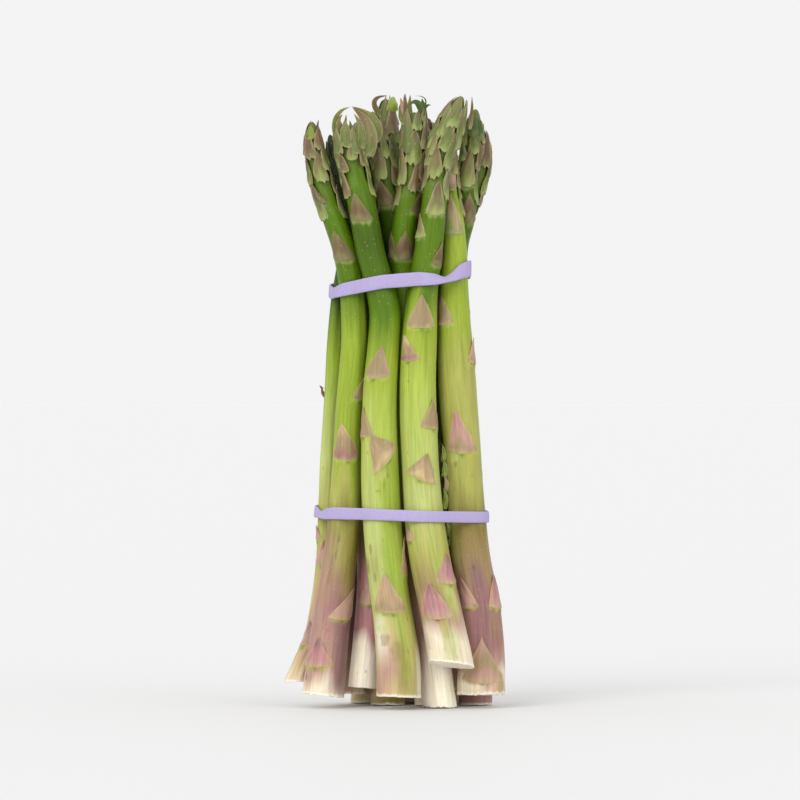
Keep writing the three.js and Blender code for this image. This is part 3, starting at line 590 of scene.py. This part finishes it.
# Radius of the stem, and above the neck of the bud's outline.
def radiusAt(spear, z):
    neckRadius = spear["girth"][-1][1]
    u = np.clip((z - spear["neck"]) / (spear["top"] - spear["neck"]), 0, 1)
    bud = neckRadius + (spear["head"] - neckRadius) * smooth(u / 0.5)
    bud = bud * np.sqrt(1 - u ** budForm["roundness"])
    return np.where(z <= spear["neck"], curveAt(spear["girth"], z)[..., 0], bud)


# How far from its middle a spear pushes at heights z. Scales widen it above the collar below its neck.
def reachAt(spear, z):
    inside = np.clip(z, spear.get("foot", 0), spear["top"] - bundle["tip"])
    return radiusAt(spear, inside) + np.where(z > spear["neck"] - bundle["collar"], bundle["scaleRise"], 0)


# The spears are drawn together near the bands and pressed apart where they overlap, as the solids are.
def settle():
    z = np.arange(bundle["levels"]) * bundle["levelStep"]
    foot = np.array([s.get("foot", 0) for s in spears])[:, None]
    top = np.array([s["top"] for s in spears])[:, None]
    loose = 1 - np.array([s.get("hold", 0) for s in spears])
    way = np.stack([curveAt(s["way"], z.astype(float)) for s in spears])
    reach = np.stack([reachAt(s, z) for s in spears])
    standing = (z > foot - bundle["levelStep"]) & (z < top + bundle["levelStep"])
    both = standing[:, None] & standing[None] & ~np.eye(len(spears), dtype=bool)[..., None]
    give = (loose + bundle["slack"])[:, None]
    share = (give / (loose[:, None] + loose[None] + 2 * bundle["slack"]))[..., None]
    nearBand = np.any([np.abs(z - b["height"]) < bundle["bandReach"] for b in bands.values()], axis=0)
    shift = np.zeros_like(way)
    for step in range(bundle["passes"]):
        place = way + shift
        if step < bundle["passes"] * bundle["squeezed"]:
            middle = (place * standing[..., None]).sum(0) / standing.sum(0)[:, None]
            out = place - middle
            out /= np.linalg.norm(out, axis=-1, keepdims=True)
            shift = shift - out * (bundle["squeeze"] * nearBand[None, :, None] * loose[:, None, None])
        between = place[None] - place[:, None]
        apart = np.linalg.norm(between, axis=-1)
        apart[apart == 0] = 1
        push = np.maximum(reach[:, None] + reach[None] + bundle["clearance"] - apart, 0) * both * share
        shift = shift - (between / apart[..., None] * push[..., None]).sum(1)
        low = np.concatenate([shift[:, :1], shift[:, :-1]], axis=1)
        high = np.concatenate([shift[:, 1:], shift[:, -1:]], axis=1)
        shift = (low + 2 * shift + high) / 4
    tipSteps = int(bundle["tipRun"] / bundle["lineStep"])
    for spear, own in zip(spears, shift):
        lowest, highest = spear.get("foot", 0) - bundle["below"], spear["top"] + bundle["above"]
        heights = np.arange(lowest, highest, bundle["lineStep"])
        line = curveAt(spear["way"], heights) - bundle["middle"]
        for k in range(2):
            line[:, k] += np.interp(heights, z, own[:, k])
        above = heights > spear["top"]
        tip = line[~above][-1]
        lean = (tip - line[~above][-1 - tipSteps]) / bundle["tipRun"]
        line[above] = tip + lean * (heights[above] - spear["top"])[:, None]
        spear["heights"] = heights
        spear["line"] = line
        spear["radii"] = radiusAt(spear, heights)


# Where the middle of a settled spear is at heights z, across or, with axis 1, back.
def lineAt(spear, z, axis=0):
    return np.interp(z, spear["heights"], spear["line"][:, axis])


def sizeAt(spear, z):
    return np.interp(z, spear["heights"], spear["radii"])


# Points at heights z that face an angle in degrees, a distance beyond the spear's surface.
def onSpear(spear, z, facing, beyond, share=1.0):
    r = sizeAt(spear, z) * share + beyond
    turn = np.radians(facing)
    return np.stack([lineAt(spear, z) + r * np.sin(turn), lineAt(spear, z, 1) - r * np.cos(turn), z], axis=-1)


# Facing of the place on the front of a spear that lies across at x, a rise above its surface.
def facingAt(spear, x, z, rise=0, limit=1):
    r = max(sizeAt(spear, z) + rise, 2)
    return math.degrees(math.asin(np.clip((x - lineAt(spear, z)) / r, -limit, limit)))


# Degrees from one facing to another, from -180 to 180.
def turned(facing, other):
    return (facing - other + 180) % 360 - 180


settle()
print("the spears have settled")


# Corners and faces of the primitive that has just been added, which is then put away.
def takenApart():
    piece, mesh = bpy.context.object, bpy.context.object.data
    points = np.empty(len(mesh.vertices) * 3)
    mesh.vertices.foreach_get("co", points)
    faces = [tuple(p.vertices) for p in mesh.polygons]
    bpy.data.objects.remove(piece)
    bpy.data.meshes.remove(mesh)
    return points.reshape(-1, 3), faces


# A flat grid, read as places from -1 to 1 across and 0 to 1 along. With a thickness it has an under side too.
def gridPattern(across, along, thickness=0.0):
    bpy.ops.object.select_all(action="DESELECT")
    bpy.ops.mesh.primitive_grid_add(x_subdivisions=across, y_subdivisions=along, size=2, location=(0, 0, 0))
    if thickness:
        wall = bpy.context.object.modifiers.new("wall", "SOLIDIFY")
        wall.thickness = thickness
        wall.offset = -1
        bpy.ops.object.modifier_apply(modifier="wall")
    points, faces = takenApart()
    under = points[:, 2] < -thickness / 2 - 1e-6
    return {"u": points[:, 0], "v": (points[:, 1] + 1) / 2, "under": under, "faces": faces}


patternWall = 0.1
leafPattern = gridPattern(leafForm["across"], leafForm["along"], patternWall)
scalePattern = gridPattern(budForm["across"], budForm["along"], patternWall)


waveForm = {"count": 5, "pace": 2.2, "height": 3.2}


# Smooth, seeded waves for small unevenness, mostly between -1 and 1.
def waves(seed, *coordinates):
    draw = np.random.default_rng(seed)
    total = 0
    for _ in range(waveForm["count"]):
        phase = draw.uniform(0, 2 * math.pi)
        total = total + np.sin(sum(c * draw.uniform(-1, 1) for c in coordinates) * waveForm["pace"] + phase)
    return total / waveForm["height"]


def colourUp(stops, z):
    heights = [s[0] for s in stops]
    colours = np.array([linear(s[1]) for s in stops])
    return np.stack([np.interp(z, heights, colours[:, k]) for k in range(3)], axis=-1)


def blended(colours, name, amount):
    return colours + (linear(name) - colours) * np.clip(amount, 0, 1)[..., None]


# Where points of the stem lie beside a leaf and below its base, and how far they are under its width.
def belowLeaf(spear, leaf, z, facing):
    aside = np.radians(turned(facing, leaf["facing"])) * sizeAt(spear, leaf["z"]) / leaf["halfWidth"]
    sag = leaf["sag"] * leaf["length"] * (1 - np.clip(aside, -1, 1) ** 2)
    baseline = leaf["z"] - sag + leaf["slant"] * aside
    return aside, baseline - z, np.clip(1.1 - np.abs(aside), 0, 0.35) / 0.35


# Colours of the stem up its height, then patches, marks, the lips under its leaves and the cut's pale rim.
def stemTint(spear, seed, z, facing):
    turn = np.radians(facing)
    front, right = np.cos(turn), np.sin(turn)
    wander, fade = stemForm["wander"], stemForm["fade"]
    tint = colourUp(spear["tints"], z + wander * waves(seed + 1, 3 * front, 3 * right, z / 25))
    for patchFacing, half, low, high, name, strength in spear.get("patches", []):
        wobble = wander * waves(seed + 2, z / 8, 2 * front)
        aside = 1 - smooth((np.abs(turned(facing, patchFacing + wobble)) - half * 0.5) / half)
        inside = smooth((z - low + fade / 2) / fade) * (1 - smooth((z - high + fade / 2) / fade))
        tint = blended(tint, name, aside * inside * strength)
    for x, up, halfAcross, halfUp, name, strength in spear.get("marks", []):
        aside = np.radians(turned(facing, facingAt(spear, x, up))) * sizeAt(spear, up)
        apart = np.hypot(aside / halfAcross, (z - up) / halfUp) + 0.3 * waves(seed + int(up), aside, z)
        tint = blended(tint, name, strength * (1 - smooth((apart - 0.7) / 0.5)))
    for leaf in leavesOf(spear):
        aside, drop, under = belowLeaf(spear, leaf, z, facing)
        ragged = drop + 0.7 * waves(int(leaf["z"]), 7 * aside)
        lip = under * smooth((drop + 0.8) / 0.8) * (1 - smooth((ragged - 0.5) / 1.3))
        tint = blended(tint, leaf["lip"], lip * stemForm["lip"])
        if leaf["z"] < leafForm["high"]:
            across = (aside * leaf["halfWidth"] - leaf["spot"]) / 0.9
            spot = np.exp(-across ** 2 - ((drop - 0.9) / 0.5) ** 2)
            tint = blended(tint, "leafGreen", spot * stemForm["spot"])
    rim = 1 - smooth((z - spear.get("foot", 0) - 0.2) / 0.9)
    return blended(tint, "ivory", stemForm["rim"] * rim)


# The stem with its cut end and the core of its bud: a grid rolled into a tube, from the cut to the tip.
def stemMesh(spear, seed):
    foot, top = spear.get("foot", 0), spear.get("coreTop", spear["top"])
    cut = stemForm["cut"]
    fineness = stemForm["fineness"] if "marks" in spear else 1
    rises = np.arange(foot, top - stemForm["tipStart"], stemForm["step"] / fineness)
    rises = np.append(rises, top - np.array(stemForm["tipRows"]))
    heights = np.append(np.full(len(cut), float(foot)), rises)
    inner = np.append(cut, np.ones(len(rises)))
    grid = gridPattern(int(stemForm["around"] * fineness), len(heights) - 1)
    row = np.rint(grid["v"] * (len(heights) - 1)).astype(int)
    z, part = heights[row], inner[row]
    facing = (grid["u"] + 1) * 180
    turn = np.radians(facing)
    front, right = np.cos(turn), np.sin(turn)
    beyond = stemForm["bumps"] * waves(seed, z / 9, 2 * front, 2 * right)
    beyond = beyond + stemForm["ridges"] * np.sin(turn * 9 + z / 30 + seed)
    for leaf in leavesOf(spear):
        _, drop, under = belowLeaf(spear, leaf, z, facing)
        beyond += stemForm["bulge"] * under * np.exp(-((drop - 0.3) / 1.5) ** 2)
    closed = np.sqrt(np.clip((top - z) / 3, 0, 1)) if "coreTop" in spear else 1
    core = 1 - (1 - stemForm["budCore"]) * smooth((z - spear["neck"] + 4) / 4)
    points = onSpear(spear, z, facing, beyond * part * smooth((top - z) / 1.5), closed * core * part)
    # the cut end slopes, is rough where it shows from below, and has fibres round its rim
    tilt = spear.get("footTilt", stemForm["footTilt"]) * front + spear.get("footSlope", 0) * right
    rough = stemForm["rough"] * waves(seed + 5, 9 * part * front, 9 * part * right) * (foot > 0)
    fibres = np.abs(waves(seed + 3, 9 * front, 9 * right))
    fibres = fibres + 0.5 * np.abs(waves(seed + 4, 23 * front, 23 * right))
    fibres = spear.get("fray", stemForm["fray"]) * stemForm["fibre"] * fibres * part ** 6
    lift = (tilt * spear["girth"][0][1] + rough) * part + fibres + stemForm["hollow"] * (1 - part)
    points[:, 2] += lift * np.clip(1 - (row - len(cut)) / (stemForm["frayRows"] * fineness), 0, 1)
    points[:, 2] = np.maximum(points[:, 2], 0)
    r = sizeAt(spear, z) * part
    skin = np.stack([r * right, r * front, z], axis=-1)
    return {"points": points, "skin": skin, "tint": stemTint(spear, seed, z, facing), "faces": grid["faces"]}


# Colours of a leaf or scale from its base to its tip and edges.
def bladeTint(u, v, tone, seed):
    base, middle, tip, edge = tones[tone]
    tint = np.repeat(linear(middle)[None], len(u), axis=0)
    wander = bladeForm["wander"] * waves(seed + 4, 4 * u, 3 * v)
    tint = blended(tint, tip, smooth((v - 0.45 + wander) / 0.4) * bladeForm["tip"])
    tint = blended(tint, tip, bladeForm["tipStreaks"] * smooth(waves(seed + 6, 15 * u, 2 * v) - 0.1))
    tint = blended(tint, base, bladeForm["baseStreaks"] * smooth(waves(seed + 7, 11 * u, 3 * v) - 0.2))
    tint = blended(tint, base, 1 - smooth((v - 0.1 + wander + 0.12 * u ** 2) / 0.25))
    tint = blended(tint, edge, bladeForm["edge"] * (1 - smooth((v - 0.03 + wander / 4) / 0.07)))
    sides = smooth((np.abs(u) - 0.66 + wander) / 0.3) * smooth(v / 0.2)
    return blended(tint, edge, bladeForm["edge"] * sides)


# Half width of a blade as a share of its widest. belly fills out its middle, and point tapers its tip.
def bladeOutline(u, v, seed, belly=0.75, point=0.9):
    outline = (1 - v) ** point * (1 + belly * v) * (1 - 0.24 * belly * (1 - smooth(v / 0.1)))
    return outline * (1 + bladeForm["uneven"] * waves(seed, 6 * v, np.sign(u)))


# One leaf or bud scale: the pattern wrapped on the spear, with a knobbly base and a raised, pointed end.
def bladeMesh(spear, pattern, blade, seed):
    u, v, under = pattern["u"], pattern["v"], pattern["under"]
    across = u * (1 - v ** 6)
    lobes = blade["lobes"] * (0.5 + 0.5 * waves(seed + 2, 9 * u)) * (1 - v) ** 3
    z = blade["z"] + blade["length"] * (v - (blade["sag"] * (1 - u ** 2) + lobes) * (1 - v))
    z = z + blade.get("slant", 0) * u * (1 - v)
    r = np.maximum(sizeAt(spear, z), 1.3)
    halfWidth = blade["halfWidth"] * bladeOutline(u, v, seed, blade["belly"], blade.get("point", 0.9))
    facing = blade["facing"] + np.degrees(u * halfWidth / r) + blade["lean"] * v
    rise = blade["rise"] * (0.55 + 0.45 * (1 - across ** 2)) * (1 - 0.25 * v)
    rise = rise + blade["flare"] * v ** 2.2 + bladeForm["ripple"] * waves(seed + 9, 4 * across, 5 * v)
    rise = rise + blade["keel"] * np.exp(-(across / 0.4) ** 2) * (1 - v)
    rise = rise + blade["swelling"] * np.exp(-((v - 0.1) / 0.12) ** 2) * (0.6 + 0.4 * waves(seed + 3, 8 * u))
    wall = blade["thickness"] * (1 - v ** 4)
    sunk = np.where((v < 0.02) | (np.abs(u) > 0.99), rise - wall, -bladeForm["sunk"])
    sunk = sunk + (rise - wall - sunk) * smooth((v - 0.35) / 0.4)
    points = onSpear(spear, z, facing, np.where(under, sunk, rise))
    r0 = sizeAt(spear, blade["z"])
    turn = np.radians(facing)
    skin = np.stack([r0 * np.sin(turn), r0 * np.cos(turn), z + 31 * (1 + seed % 7)], axis=-1)
    tint = bladeTint(u, v, blade["tone"], seed)
    return {"points": points, "skin": skin, "tint": tint, "faces": pattern["faces"]}


# A loose scrap or open scale that stands off the bud, along a curve through three points.
def curlMesh(spear, pattern, curl, seed):
    *line, halfWidth, tone = curl
    u, v, under = pattern["u"], pattern["v"], pattern["under"]
    a, b, c = np.array([(x, lineAt(spear, min(z, spear["top"]), 1) + depth, z) for x, depth, z in line])
    bend = 2 * b - (a + c) / 2
    lobes = bladeForm["curlLobes"] * (0.5 + 0.5 * waves(seed + 2, 8 * u)) * (1 - v) ** 3
    v3 = (v - lobes)[:, None]
    middle = a * (1 - v3) ** 2 + bend * 2 * v3 * (1 - v3) + c * v3 ** 2
    along = 2 * (bend - a) * (1 - v3) + 2 * (c - bend) * v3
    aside = np.stack([along[:, 2], np.zeros(len(v)), -along[:, 0]], axis=-1)
    aside /= np.linalg.norm(aside, axis=-1, keepdims=True)
    width = u * bladeOutline(u, v, seed) * halfWidth
    width = width * (1 + bladeForm["curlUneven"] * waves(seed + 5, 11 * v, np.sign(u)))
    across = u * (1 - v ** 6)
    points = middle + aside * width[:, None]
    cup = bladeForm["curlCup"] * halfWidth * across ** 2 * (1 - v)
    points[:, 1] += cup + bladeForm["curlRipple"] * waves(seed, 5 * across, 6 * v)
    points[:, 1] += np.where(under, bladeForm["curlThickness"] * (1 - v ** 4), 0)
    skin = np.stack([width, np.zeros(len(v)), v * 12 + seed], axis=-1)
    return {"points": points, "skin": skin, "tint": bladeTint(u, v, tone, seed), "faces": pattern["faces"]}


# A leaf is left off where a neighbour presses on the stem.
def isFree(spear, leaf):
    for up, aside in [(0, -0.8), (0, 0), (0, 0.8), (0.5, -0.5), (0.5, 0), (0.5, 0.5), (1, 0)]:
        z = np.array([leaf["z"] + up * leaf["length"]])
        x, y, _ = onSpear(spear, z, leaf["facing"] + aside * 50 + leaf["lean"] * up, leafForm["clear"])[0]
        for other in spears:
            if other is spear or z[0] < other.get("foot", 0) - 2 or z[0] > other["top"] + 2:
                continue
            apart = math.hypot(x - lineAt(other, z)[0], y - lineAt(other, z, 1)[0])
            if apart < sizeAt(other, z)[0] + 0.3:
                return False
    return True


# The scale leaves of a spear, which are worked out once.
def leavesOf(spear):
    if "placedLeaves" in spear:
        return spear["placedLeaves"]
    placed = []
    for n, (z, facing, lean, length, *finish) in enumerate(spear.get("leaves", [])):
        draw = np.random.default_rng(int(z * 10) + n)
        tone, slant, share, point = finish + [None] * (4 - len(finish))
        low, high = z < leafForm["low"], z > leafForm["high"]
        widest = sizeAt(spear, z) * leafForm["widest"]
        leaf = leafForm["blade"] | {
            "z": z, "facing": facing, "lean": lean, "length": length,
            "halfWidth": min((share or leafForm["halfWidth"]) * length, widest),
            "flare": draw.uniform(0, 0.5), "spot": draw.uniform(-1, 1),
            "slant": slant or 0, "point": point or draw.uniform(0.9, 1.15),
            "tone": tone or ("leafLow" if low else "leafHigh" if high else "leaf"),
            "lip": "sap" if high else "straw" if low else "lime",
        }
        if isFree(spear, leaf):
            placed.append(leaf)
    spear["placedLeaves"] = placed
    return placed


# The bud's scales climb in a spiral, and get shorter and closer towards the top. The front ones of a bud that
# has its own table are left to that.
def scalesOf(spear, seed):
    draw = np.random.default_rng(seed)
    height = spear["top"] - spear["neck"]
    size = (height / budForm["height"]) * (spear["head"] / budForm["head"]) ** 0.5
    highest = spear.get("coreTop", spear["top"]) + 0.5
    stray = budForm["stray"]
    placed = []
    for n in range(budForm["scales"]):
        t = n / budForm["scales"]
        z = spear["neck"] - budForm["start"] + (height + 1) * t ** 0.9
        facing = spear["turn"] + budForm["turn"] * n + draw.uniform(-stray, stray)
        lean = draw.uniform(-stray, stray)
        length = budForm["length"] * size * (1 - 0.45 * t) * draw.uniform(0.85, 1.15)
        length = min(length, max(highest - z, budForm["shortest"]))
        scale = budForm["blade"] | {
            "z": z, "facing": facing, "lean": lean, "length": length,
            "halfWidth": budForm["halfWidth"] * size * (1 - 0.35 * t) * draw.uniform(0.85, 1.15),
            "rise": budForm["rise"] * (1 - 0.3 * t),
            "flare": draw.uniform(-0.2, 0.8) * (1 - t) + draw.uniform(-0.1, 0.35) * t,
            "tone": draw.choice(spear.get("tones", ["moss", "purple", "brown", "striped"])),
        }
        if "scales" not in spear or abs(turned(facing, 0)) > budForm["frontal"]:
            placed.append(scale)
    for x, z, tipX, tipZ, halfWidth, flare, tone in spear.get("scales", []):
        facing, tipFacing = [facingAt(spear, *spot, budForm["rise"], 0.97) for spot in ((x, z), (tipX, tipZ))]
        placed.append(budForm["blade"] | budForm["front"] | {
            "z": z, "facing": facing, "lean": tipFacing - facing, "length": tipZ - z,
            "halfWidth": halfWidth, "flare": flare, "tone": tone,
        })
    return placed


def joined(parts):
    offset = 0
    faces = []
    for part in parts:
        faces += [tuple(i + offset for i in face) for face in part["faces"]]
        offset += len(part["points"])
    return {key: np.vstack([p[key] for p in parts]) for key in ("points", "skin", "tint")} | {"faces": faces}


# A mesh operator works on all of a piece.
def worked(piece, operator, **options):
    bpy.ops.object.select_all(action="DESELECT")
    piece.select_set(True)
    bpy.context.view_layer.objects.active = piece
    bpy.ops.object.mode_set(mode="EDIT")
    bpy.ops.mesh.select_all(action="SELECT")
    operator(**options)
    bpy.ops.object.mode_set(mode="OBJECT")


# A new piece, whose seams and tips are closed.
def meshObject(name, shape):
    mesh = bpy.data.meshes.new(name)
    mesh.from_pydata((shape["points"] * mm).tolist(), [], shape["faces"])
    places = mesh.attributes.new("skin", "FLOAT_VECTOR", "POINT")
    places.data.foreach_set("vector", (shape["skin"] * mm).ravel())
    colours = mesh.attributes.new("tint", "FLOAT_COLOR", "POINT")
    colours.data.foreach_set("color", np.hstack([shape["tint"], np.ones((len(shape["tint"]), 1))]).ravel())
    piece = bpy.data.objects.new(name, mesh)
    bpy.context.scene.collection.objects.link(piece)
    worked(piece, bpy.ops.mesh.remove_doubles, threshold=1e-6)
    return piece


# streaks, broad, mottle and veins hold a noise's squash along the stem, its scale and its detail.
skinForm = {
    "streaks": (0.05, 1700, 3), "broad": (0.12, 420, 2), "mottle": (0.6, 260, 3), "veins": (0.04, 750, 2),
    "specular": 0.24, "subsurface": 0.12, "depth": 0.002, "bump": 0.4, "relief": 0.0002, "speck": 0.4,
}


# The inputs of a shader node are linked from another node's output, or else constant.
def feed(material, node, inputs):
    for socket, value in inputs.items():
        if hasattr(value, "node"):
            material.node_tree.links.new(value, node.inputs[socket])
        else:
            node.inputs[socket].default_value = value


def addNode(material, kind, inputs, **settings):
    node = material.node_tree.nodes.new("ShaderNode" + kind)
    for key, value in settings.items():
        setattr(node, key, value)
    feed(material, node, inputs)
    return node


def mixed(material, amount, first, second, blend="MIX"):
    inputs = {0: amount, 6: first, 7: second}
    return addNode(material, "Mix", inputs, data_type="RGBA", blend_type=blend).outputs[2]


def newMaterial(name):
    material = bpy.data.materials.new(name)
    material.use_nodes = True
    return material


def surface(material, inputs):
    feed(material, material.node_tree.nodes["Principled BSDF"], inputs)


def spearSkin():
    skin = newMaterial("spearSkin")
    place = addNode(skin, "Attribute", {}, attribute_name="skin").outputs["Vector"]
    tint = addNode(skin, "Attribute", {}, attribute_name="tint").outputs["Color"]

    # The skin's places, squashed along the stem, so that a pattern on them is drawn out.
    def stretched(squash):
        return addNode(skin, "Mapping", {"Vector": place, "Scale": (1, 1, squash)}).outputs["Vector"]

    def noise(squash, scale, detail):
        inputs = {"Vector": stretched(squash), "Scale": scale, "Detail": detail}
        return addNode(skin, "TexNoise", inputs).outputs["Fac"]

    def ramp(value, low, high, darkest=0.0, lightest=1.0):
        inputs = {"Value": value, "From Min": low, "From Max": high, "To Min": darkest, "To Max": lightest}
        return addNode(skin, "MapRange", inputs).outputs["Result"]

    def times(first, factors):
        return mixed(skin, 1.0, first, (*factors, 1), "MULTIPLY")

    # Small dots of a colour, which fade in between the far distance from their middle and the near one.
    def dotted(first, name, squash, scale, far, near):
        cells = addNode(skin, "TexVoronoi", {"Vector": stretched(squash), "Scale": scale})
        amount = ramp(cells.outputs["Distance"], far, near, 0, skinForm["speck"])
        return mixed(skin, amount, first, (*linear(name), 1))

    streaks, broad, mottle, veins = [noise(*skinForm[key]) for key in ("streaks", "broad", "mottle", "veins")]
    dull, bright = times(tint, (0.89, 0.89, 0.85)), times(tint, (1.05, 1.05, 1.04))
    colour = mixed(skin, ramp(streaks, 0.35, 0.65), dull, bright)
    colour = mixed(skin, ramp(broad, 0.35, 0.7), colour, times(colour, (1.04, 0.97, 0.93)))
    colour = mixed(skin, ramp(mottle, 0.45, 0.75), colour, times(colour, (1.05, 1.06, 1.02)))
    colour = mixed(skin, ramp(veins, 0.5, 0.3), colour, times(colour, (0.84, 0.87, 0.82)))
    colour = dotted(colour, "sand", 0.7, 620, 0.16, 0.06)
    colour = dotted(colour, "umber", 0.5, 210, 0.09, 0.04)
    bump = {"Strength": skinForm["bump"], "Distance": skinForm["relief"], "Height": streaks}
    surface(skin, {
        "Base Color": colour, "Roughness": ramp(mottle, 0.3, 0.7, 0.34, 0.52),
        "Normal": addNode(skin, "Bump", bump).outputs["Normal"], "Specular IOR Level": skinForm["specular"],
        "Subsurface Weight": skinForm["subsurface"], "Subsurface Radius": (0.5, 0.6, 0.2),
        "Subsurface Scale": skinForm["depth"],
    })
    return skin


skinMaterial = spearSkin()
firstSeed = {"leaves": 20, "scales": 40, "curls": 90}
for number, spear in enumerate(spears):
    seed = 100 * (number + 1)
    parts = [stemMesh(spear, seed)]
    for n, leaf in enumerate(leavesOf(spear)):
        parts.append(bladeMesh(spear, leafPattern, leaf, seed + firstSeed["leaves"] + n))
    for n, scale in enumerate(scalesOf(spear, seed)):
        parts.append(bladeMesh(spear, scalePattern, scale, seed + firstSeed["scales"] + n))
    for n, curl in enumerate(spear.get("curls", [])):
        parts.append(curlMesh(spear, scalePattern, curl, seed + firstSeed["curls"] + n))
    piece = meshObject(spear["name"] + "_grown", joined(parts))
    piece.data.materials.append(skinMaterial)
    bpy.ops.object.shade_smooth_by_angle(angle=math.radians(50))
    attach(piece, "root")
    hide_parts(spear["name"])
print("the spears have grown")

rubberForm = {"specular": 0.35, "grain": 900, "darker": 0.86, "roughness": 0.6}


def rubber():
    material = newMaterial("lilacRubber")
    place = addNode(material, "TexCoord", {}).outputs["Object"]
    grain = addNode(material, "TexNoise", {"Vector": place, "Scale": rubberForm["grain"]}).outputs["Fac"]
    light, dark = linear("lilac"), linear("lilac") * rubberForm["darker"]
    surface(material, {
        "Base Color": mixed(material, grain, (*light, 1), (*dark, 1)),
        "Specular IOR Level": rubberForm["specular"], "Roughness": rubberForm["roughness"],
    })
    return material


# Outline of the spears at a band: the corners of their convex hull, evened out into stations.
def bandStations(band, stations):
    spots = []
    for spear in spears:
        if spear["top"] < band["height"]:
            continue
        z = np.full(90, band["height"] + band["rise"] * lineAt(spear, band["height"]))
        spots += onSpear(spear, z, np.arange(0, 360, 4), bandForm["gap"])[:, :2].tolist()
    spots.sort()
    hull = []
    for points in (spots, spots[::-1]):
        half = []
        for p in points:
            while len(half) > 1:
                (ax, ay), (bx, by) = half[-2:]
                if (bx - ax) * (p[1] - ay) - (by - ay) * (p[0] - ax) > 0:
                    break
                half.pop()
            half.append(p)
        hull += half[:-1]
    hull = np.array(hull + hull[:1])
    reach = np.append(0, np.cumsum(np.linalg.norm(np.diff(hull, axis=0), axis=1)))
    even = np.linspace(0, reach[-1], stations, endpoint=False)
    line = np.stack([np.interp(even, reach, hull[:, k]) for k in range(2)], axis=-1)
    for _ in range(2):
        line = line * 0.5 + (np.roll(line, 1, axis=0) + np.roll(line, -1, axis=0)) * 0.25
    return line


# A flat strip of rubber with rounded edges that rolls and narrows along its course: a ring pulled into shape.
def bandMesh(band, seed):
    stations, corners = bandForm["stations"], bandForm["corners"]
    line = bandStations(band, stations)
    tangent = np.roll(line, -1, axis=0) - np.roll(line, 1, axis=0)
    tangent /= np.linalg.norm(tangent, axis=1, keepdims=True)
    out = np.stack([tangent[:, 1], -tangent[:, 0], np.zeros(stations)], axis=-1)
    course = np.array(band["course"], float)
    lift, width, roll = [np.interp(line[:, 0], course[:, 0], course[:, k]) for k in (1, 2, 3)]
    weights = bandForm["evening"]
    for values in (lift, width, roll):
        values[:] = sum(weight * np.roll(values, 2 - k) for k, weight in enumerate(weights)) / sum(weights)
    front = smooth((4 - line[:, 1]) / 8)
    turn = np.linspace(0, 2 * math.pi, stations, endpoint=False)
    lift = lift * front + 0.25 * waves(seed, 4 * np.cos(turn), 4 * np.sin(turn)) * (1 - front)
    width = width * front + band["width"] * (1 - front)
    width = width + 0.12 * waves(seed + 1, 7 * np.cos(turn), 7 * np.sin(turn))
    roll = np.radians(roll * front + 4 * waves(seed + 2, 5 * np.cos(turn), 5 * np.sin(turn)))
    thick = band["thickness"] / 2
    middle = np.column_stack([line, band["height"] + band["rise"] * line[:, 0] + lift])
    middle = middle + out * (thick + np.abs(np.sin(roll)) * width * 0.3)[:, None]
    rings = []
    for k in range(corners):
        angle = 2 * math.pi * k / corners
        across = np.sign(math.cos(angle)) * abs(math.cos(angle)) ** 0.45 * width / 2
        deep = np.sign(math.sin(angle)) * abs(math.sin(angle)) ** 0.6 * thick
        ring = middle + out * (deep * np.cos(roll) - across * np.sin(roll))[:, None]
        ring[:, 2] += across * np.cos(roll) + deep * np.sin(roll)
        rings.append(ring)
    bpy.ops.object.select_all(action="DESELECT")
    bpy.ops.mesh.primitive_torus_add(
        major_segments=stations, minor_segments=corners, major_radius=1, minor_radius=0.1,
    )
    ring, faces = takenApart()
    along = np.arctan2(ring[:, 1], ring[:, 0])
    around = np.arctan2(ring[:, 2], np.hypot(ring[:, 0], ring[:, 1]) - 1)
    station = np.rint(along * stations / (2 * math.pi)).astype(int) % stations
    corner = np.rint(around * corners / (2 * math.pi)).astype(int) % corners
    points = np.array(rings)[corner, station]
    tint = np.repeat(linear("lilac")[None], len(points), axis=0)
    return {"points": points, "skin": points, "tint": tint, "faces": faces}


# evening holds the weights of five stations in a row, which take the corners out of a band's course.
bandForm = {"stations": 300, "corners": 16, "gap": 0.35, "evening": (1, 2, 3, 2, 1)}
lilacRubber = rubber()
for number, (name, band) in enumerate(bands.items()):
    piece = meshObject(name + "_rubber", bandMesh(band, 7000 + 10 * number))
    piece.data.materials.append(lilacRubber)
    worked(piece, bpy.ops.mesh.normals_make_consistent, inside=False)
    bpy.ops.object.shade_smooth_by_angle(angle=math.radians(60))
    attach(piece, "root")
    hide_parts(name)
print("the bands are on")

# Pale floor and soft studio light.
bpy.ops.mesh.primitive_plane_add(size=400, location=(0, 0, 0))
floor = bpy.context.object
floor.name = "floor"
paper = newMaterial("palePaper")
surface(paper, {"Base Color": (0.77, 0.77, 0.77, 1), "Roughness": 0.7})
floor.data.materials.append(paper)

# turn goes from the front towards the right, and up is the height above the floor, both in degrees.
studio = {
    "key": {"turn": -28, "up": 32, "spread": 35, "strength": 1.2},
    "fill": {"turn": 40, "up": 20, "spread": 60, "strength": 0.5},
}
for name, lamp in studio.items():
    bpy.ops.object.light_add(type="SUN", location=(0, -1, 1))
    light = bpy.context.object
    light.name = name
    light.data.angle = math.radians(lamp["spread"])
    light.data.energy = lamp["strength"]
    light.rotation_euler = (math.radians(90 - lamp["up"]), 0, math.radians(lamp["turn"]))
world = bpy.context.scene.world or bpy.data.worlds.new("studio")
bpy.context.scene.world = world
world.use_nodes = True
world.node_tree.nodes["Background"].inputs["Color"].default_value = (1, 1, 1, 1)
world.node_tree.nodes["Background"].inputs["Strength"].default_value = 0.9
print("the studio is lit")
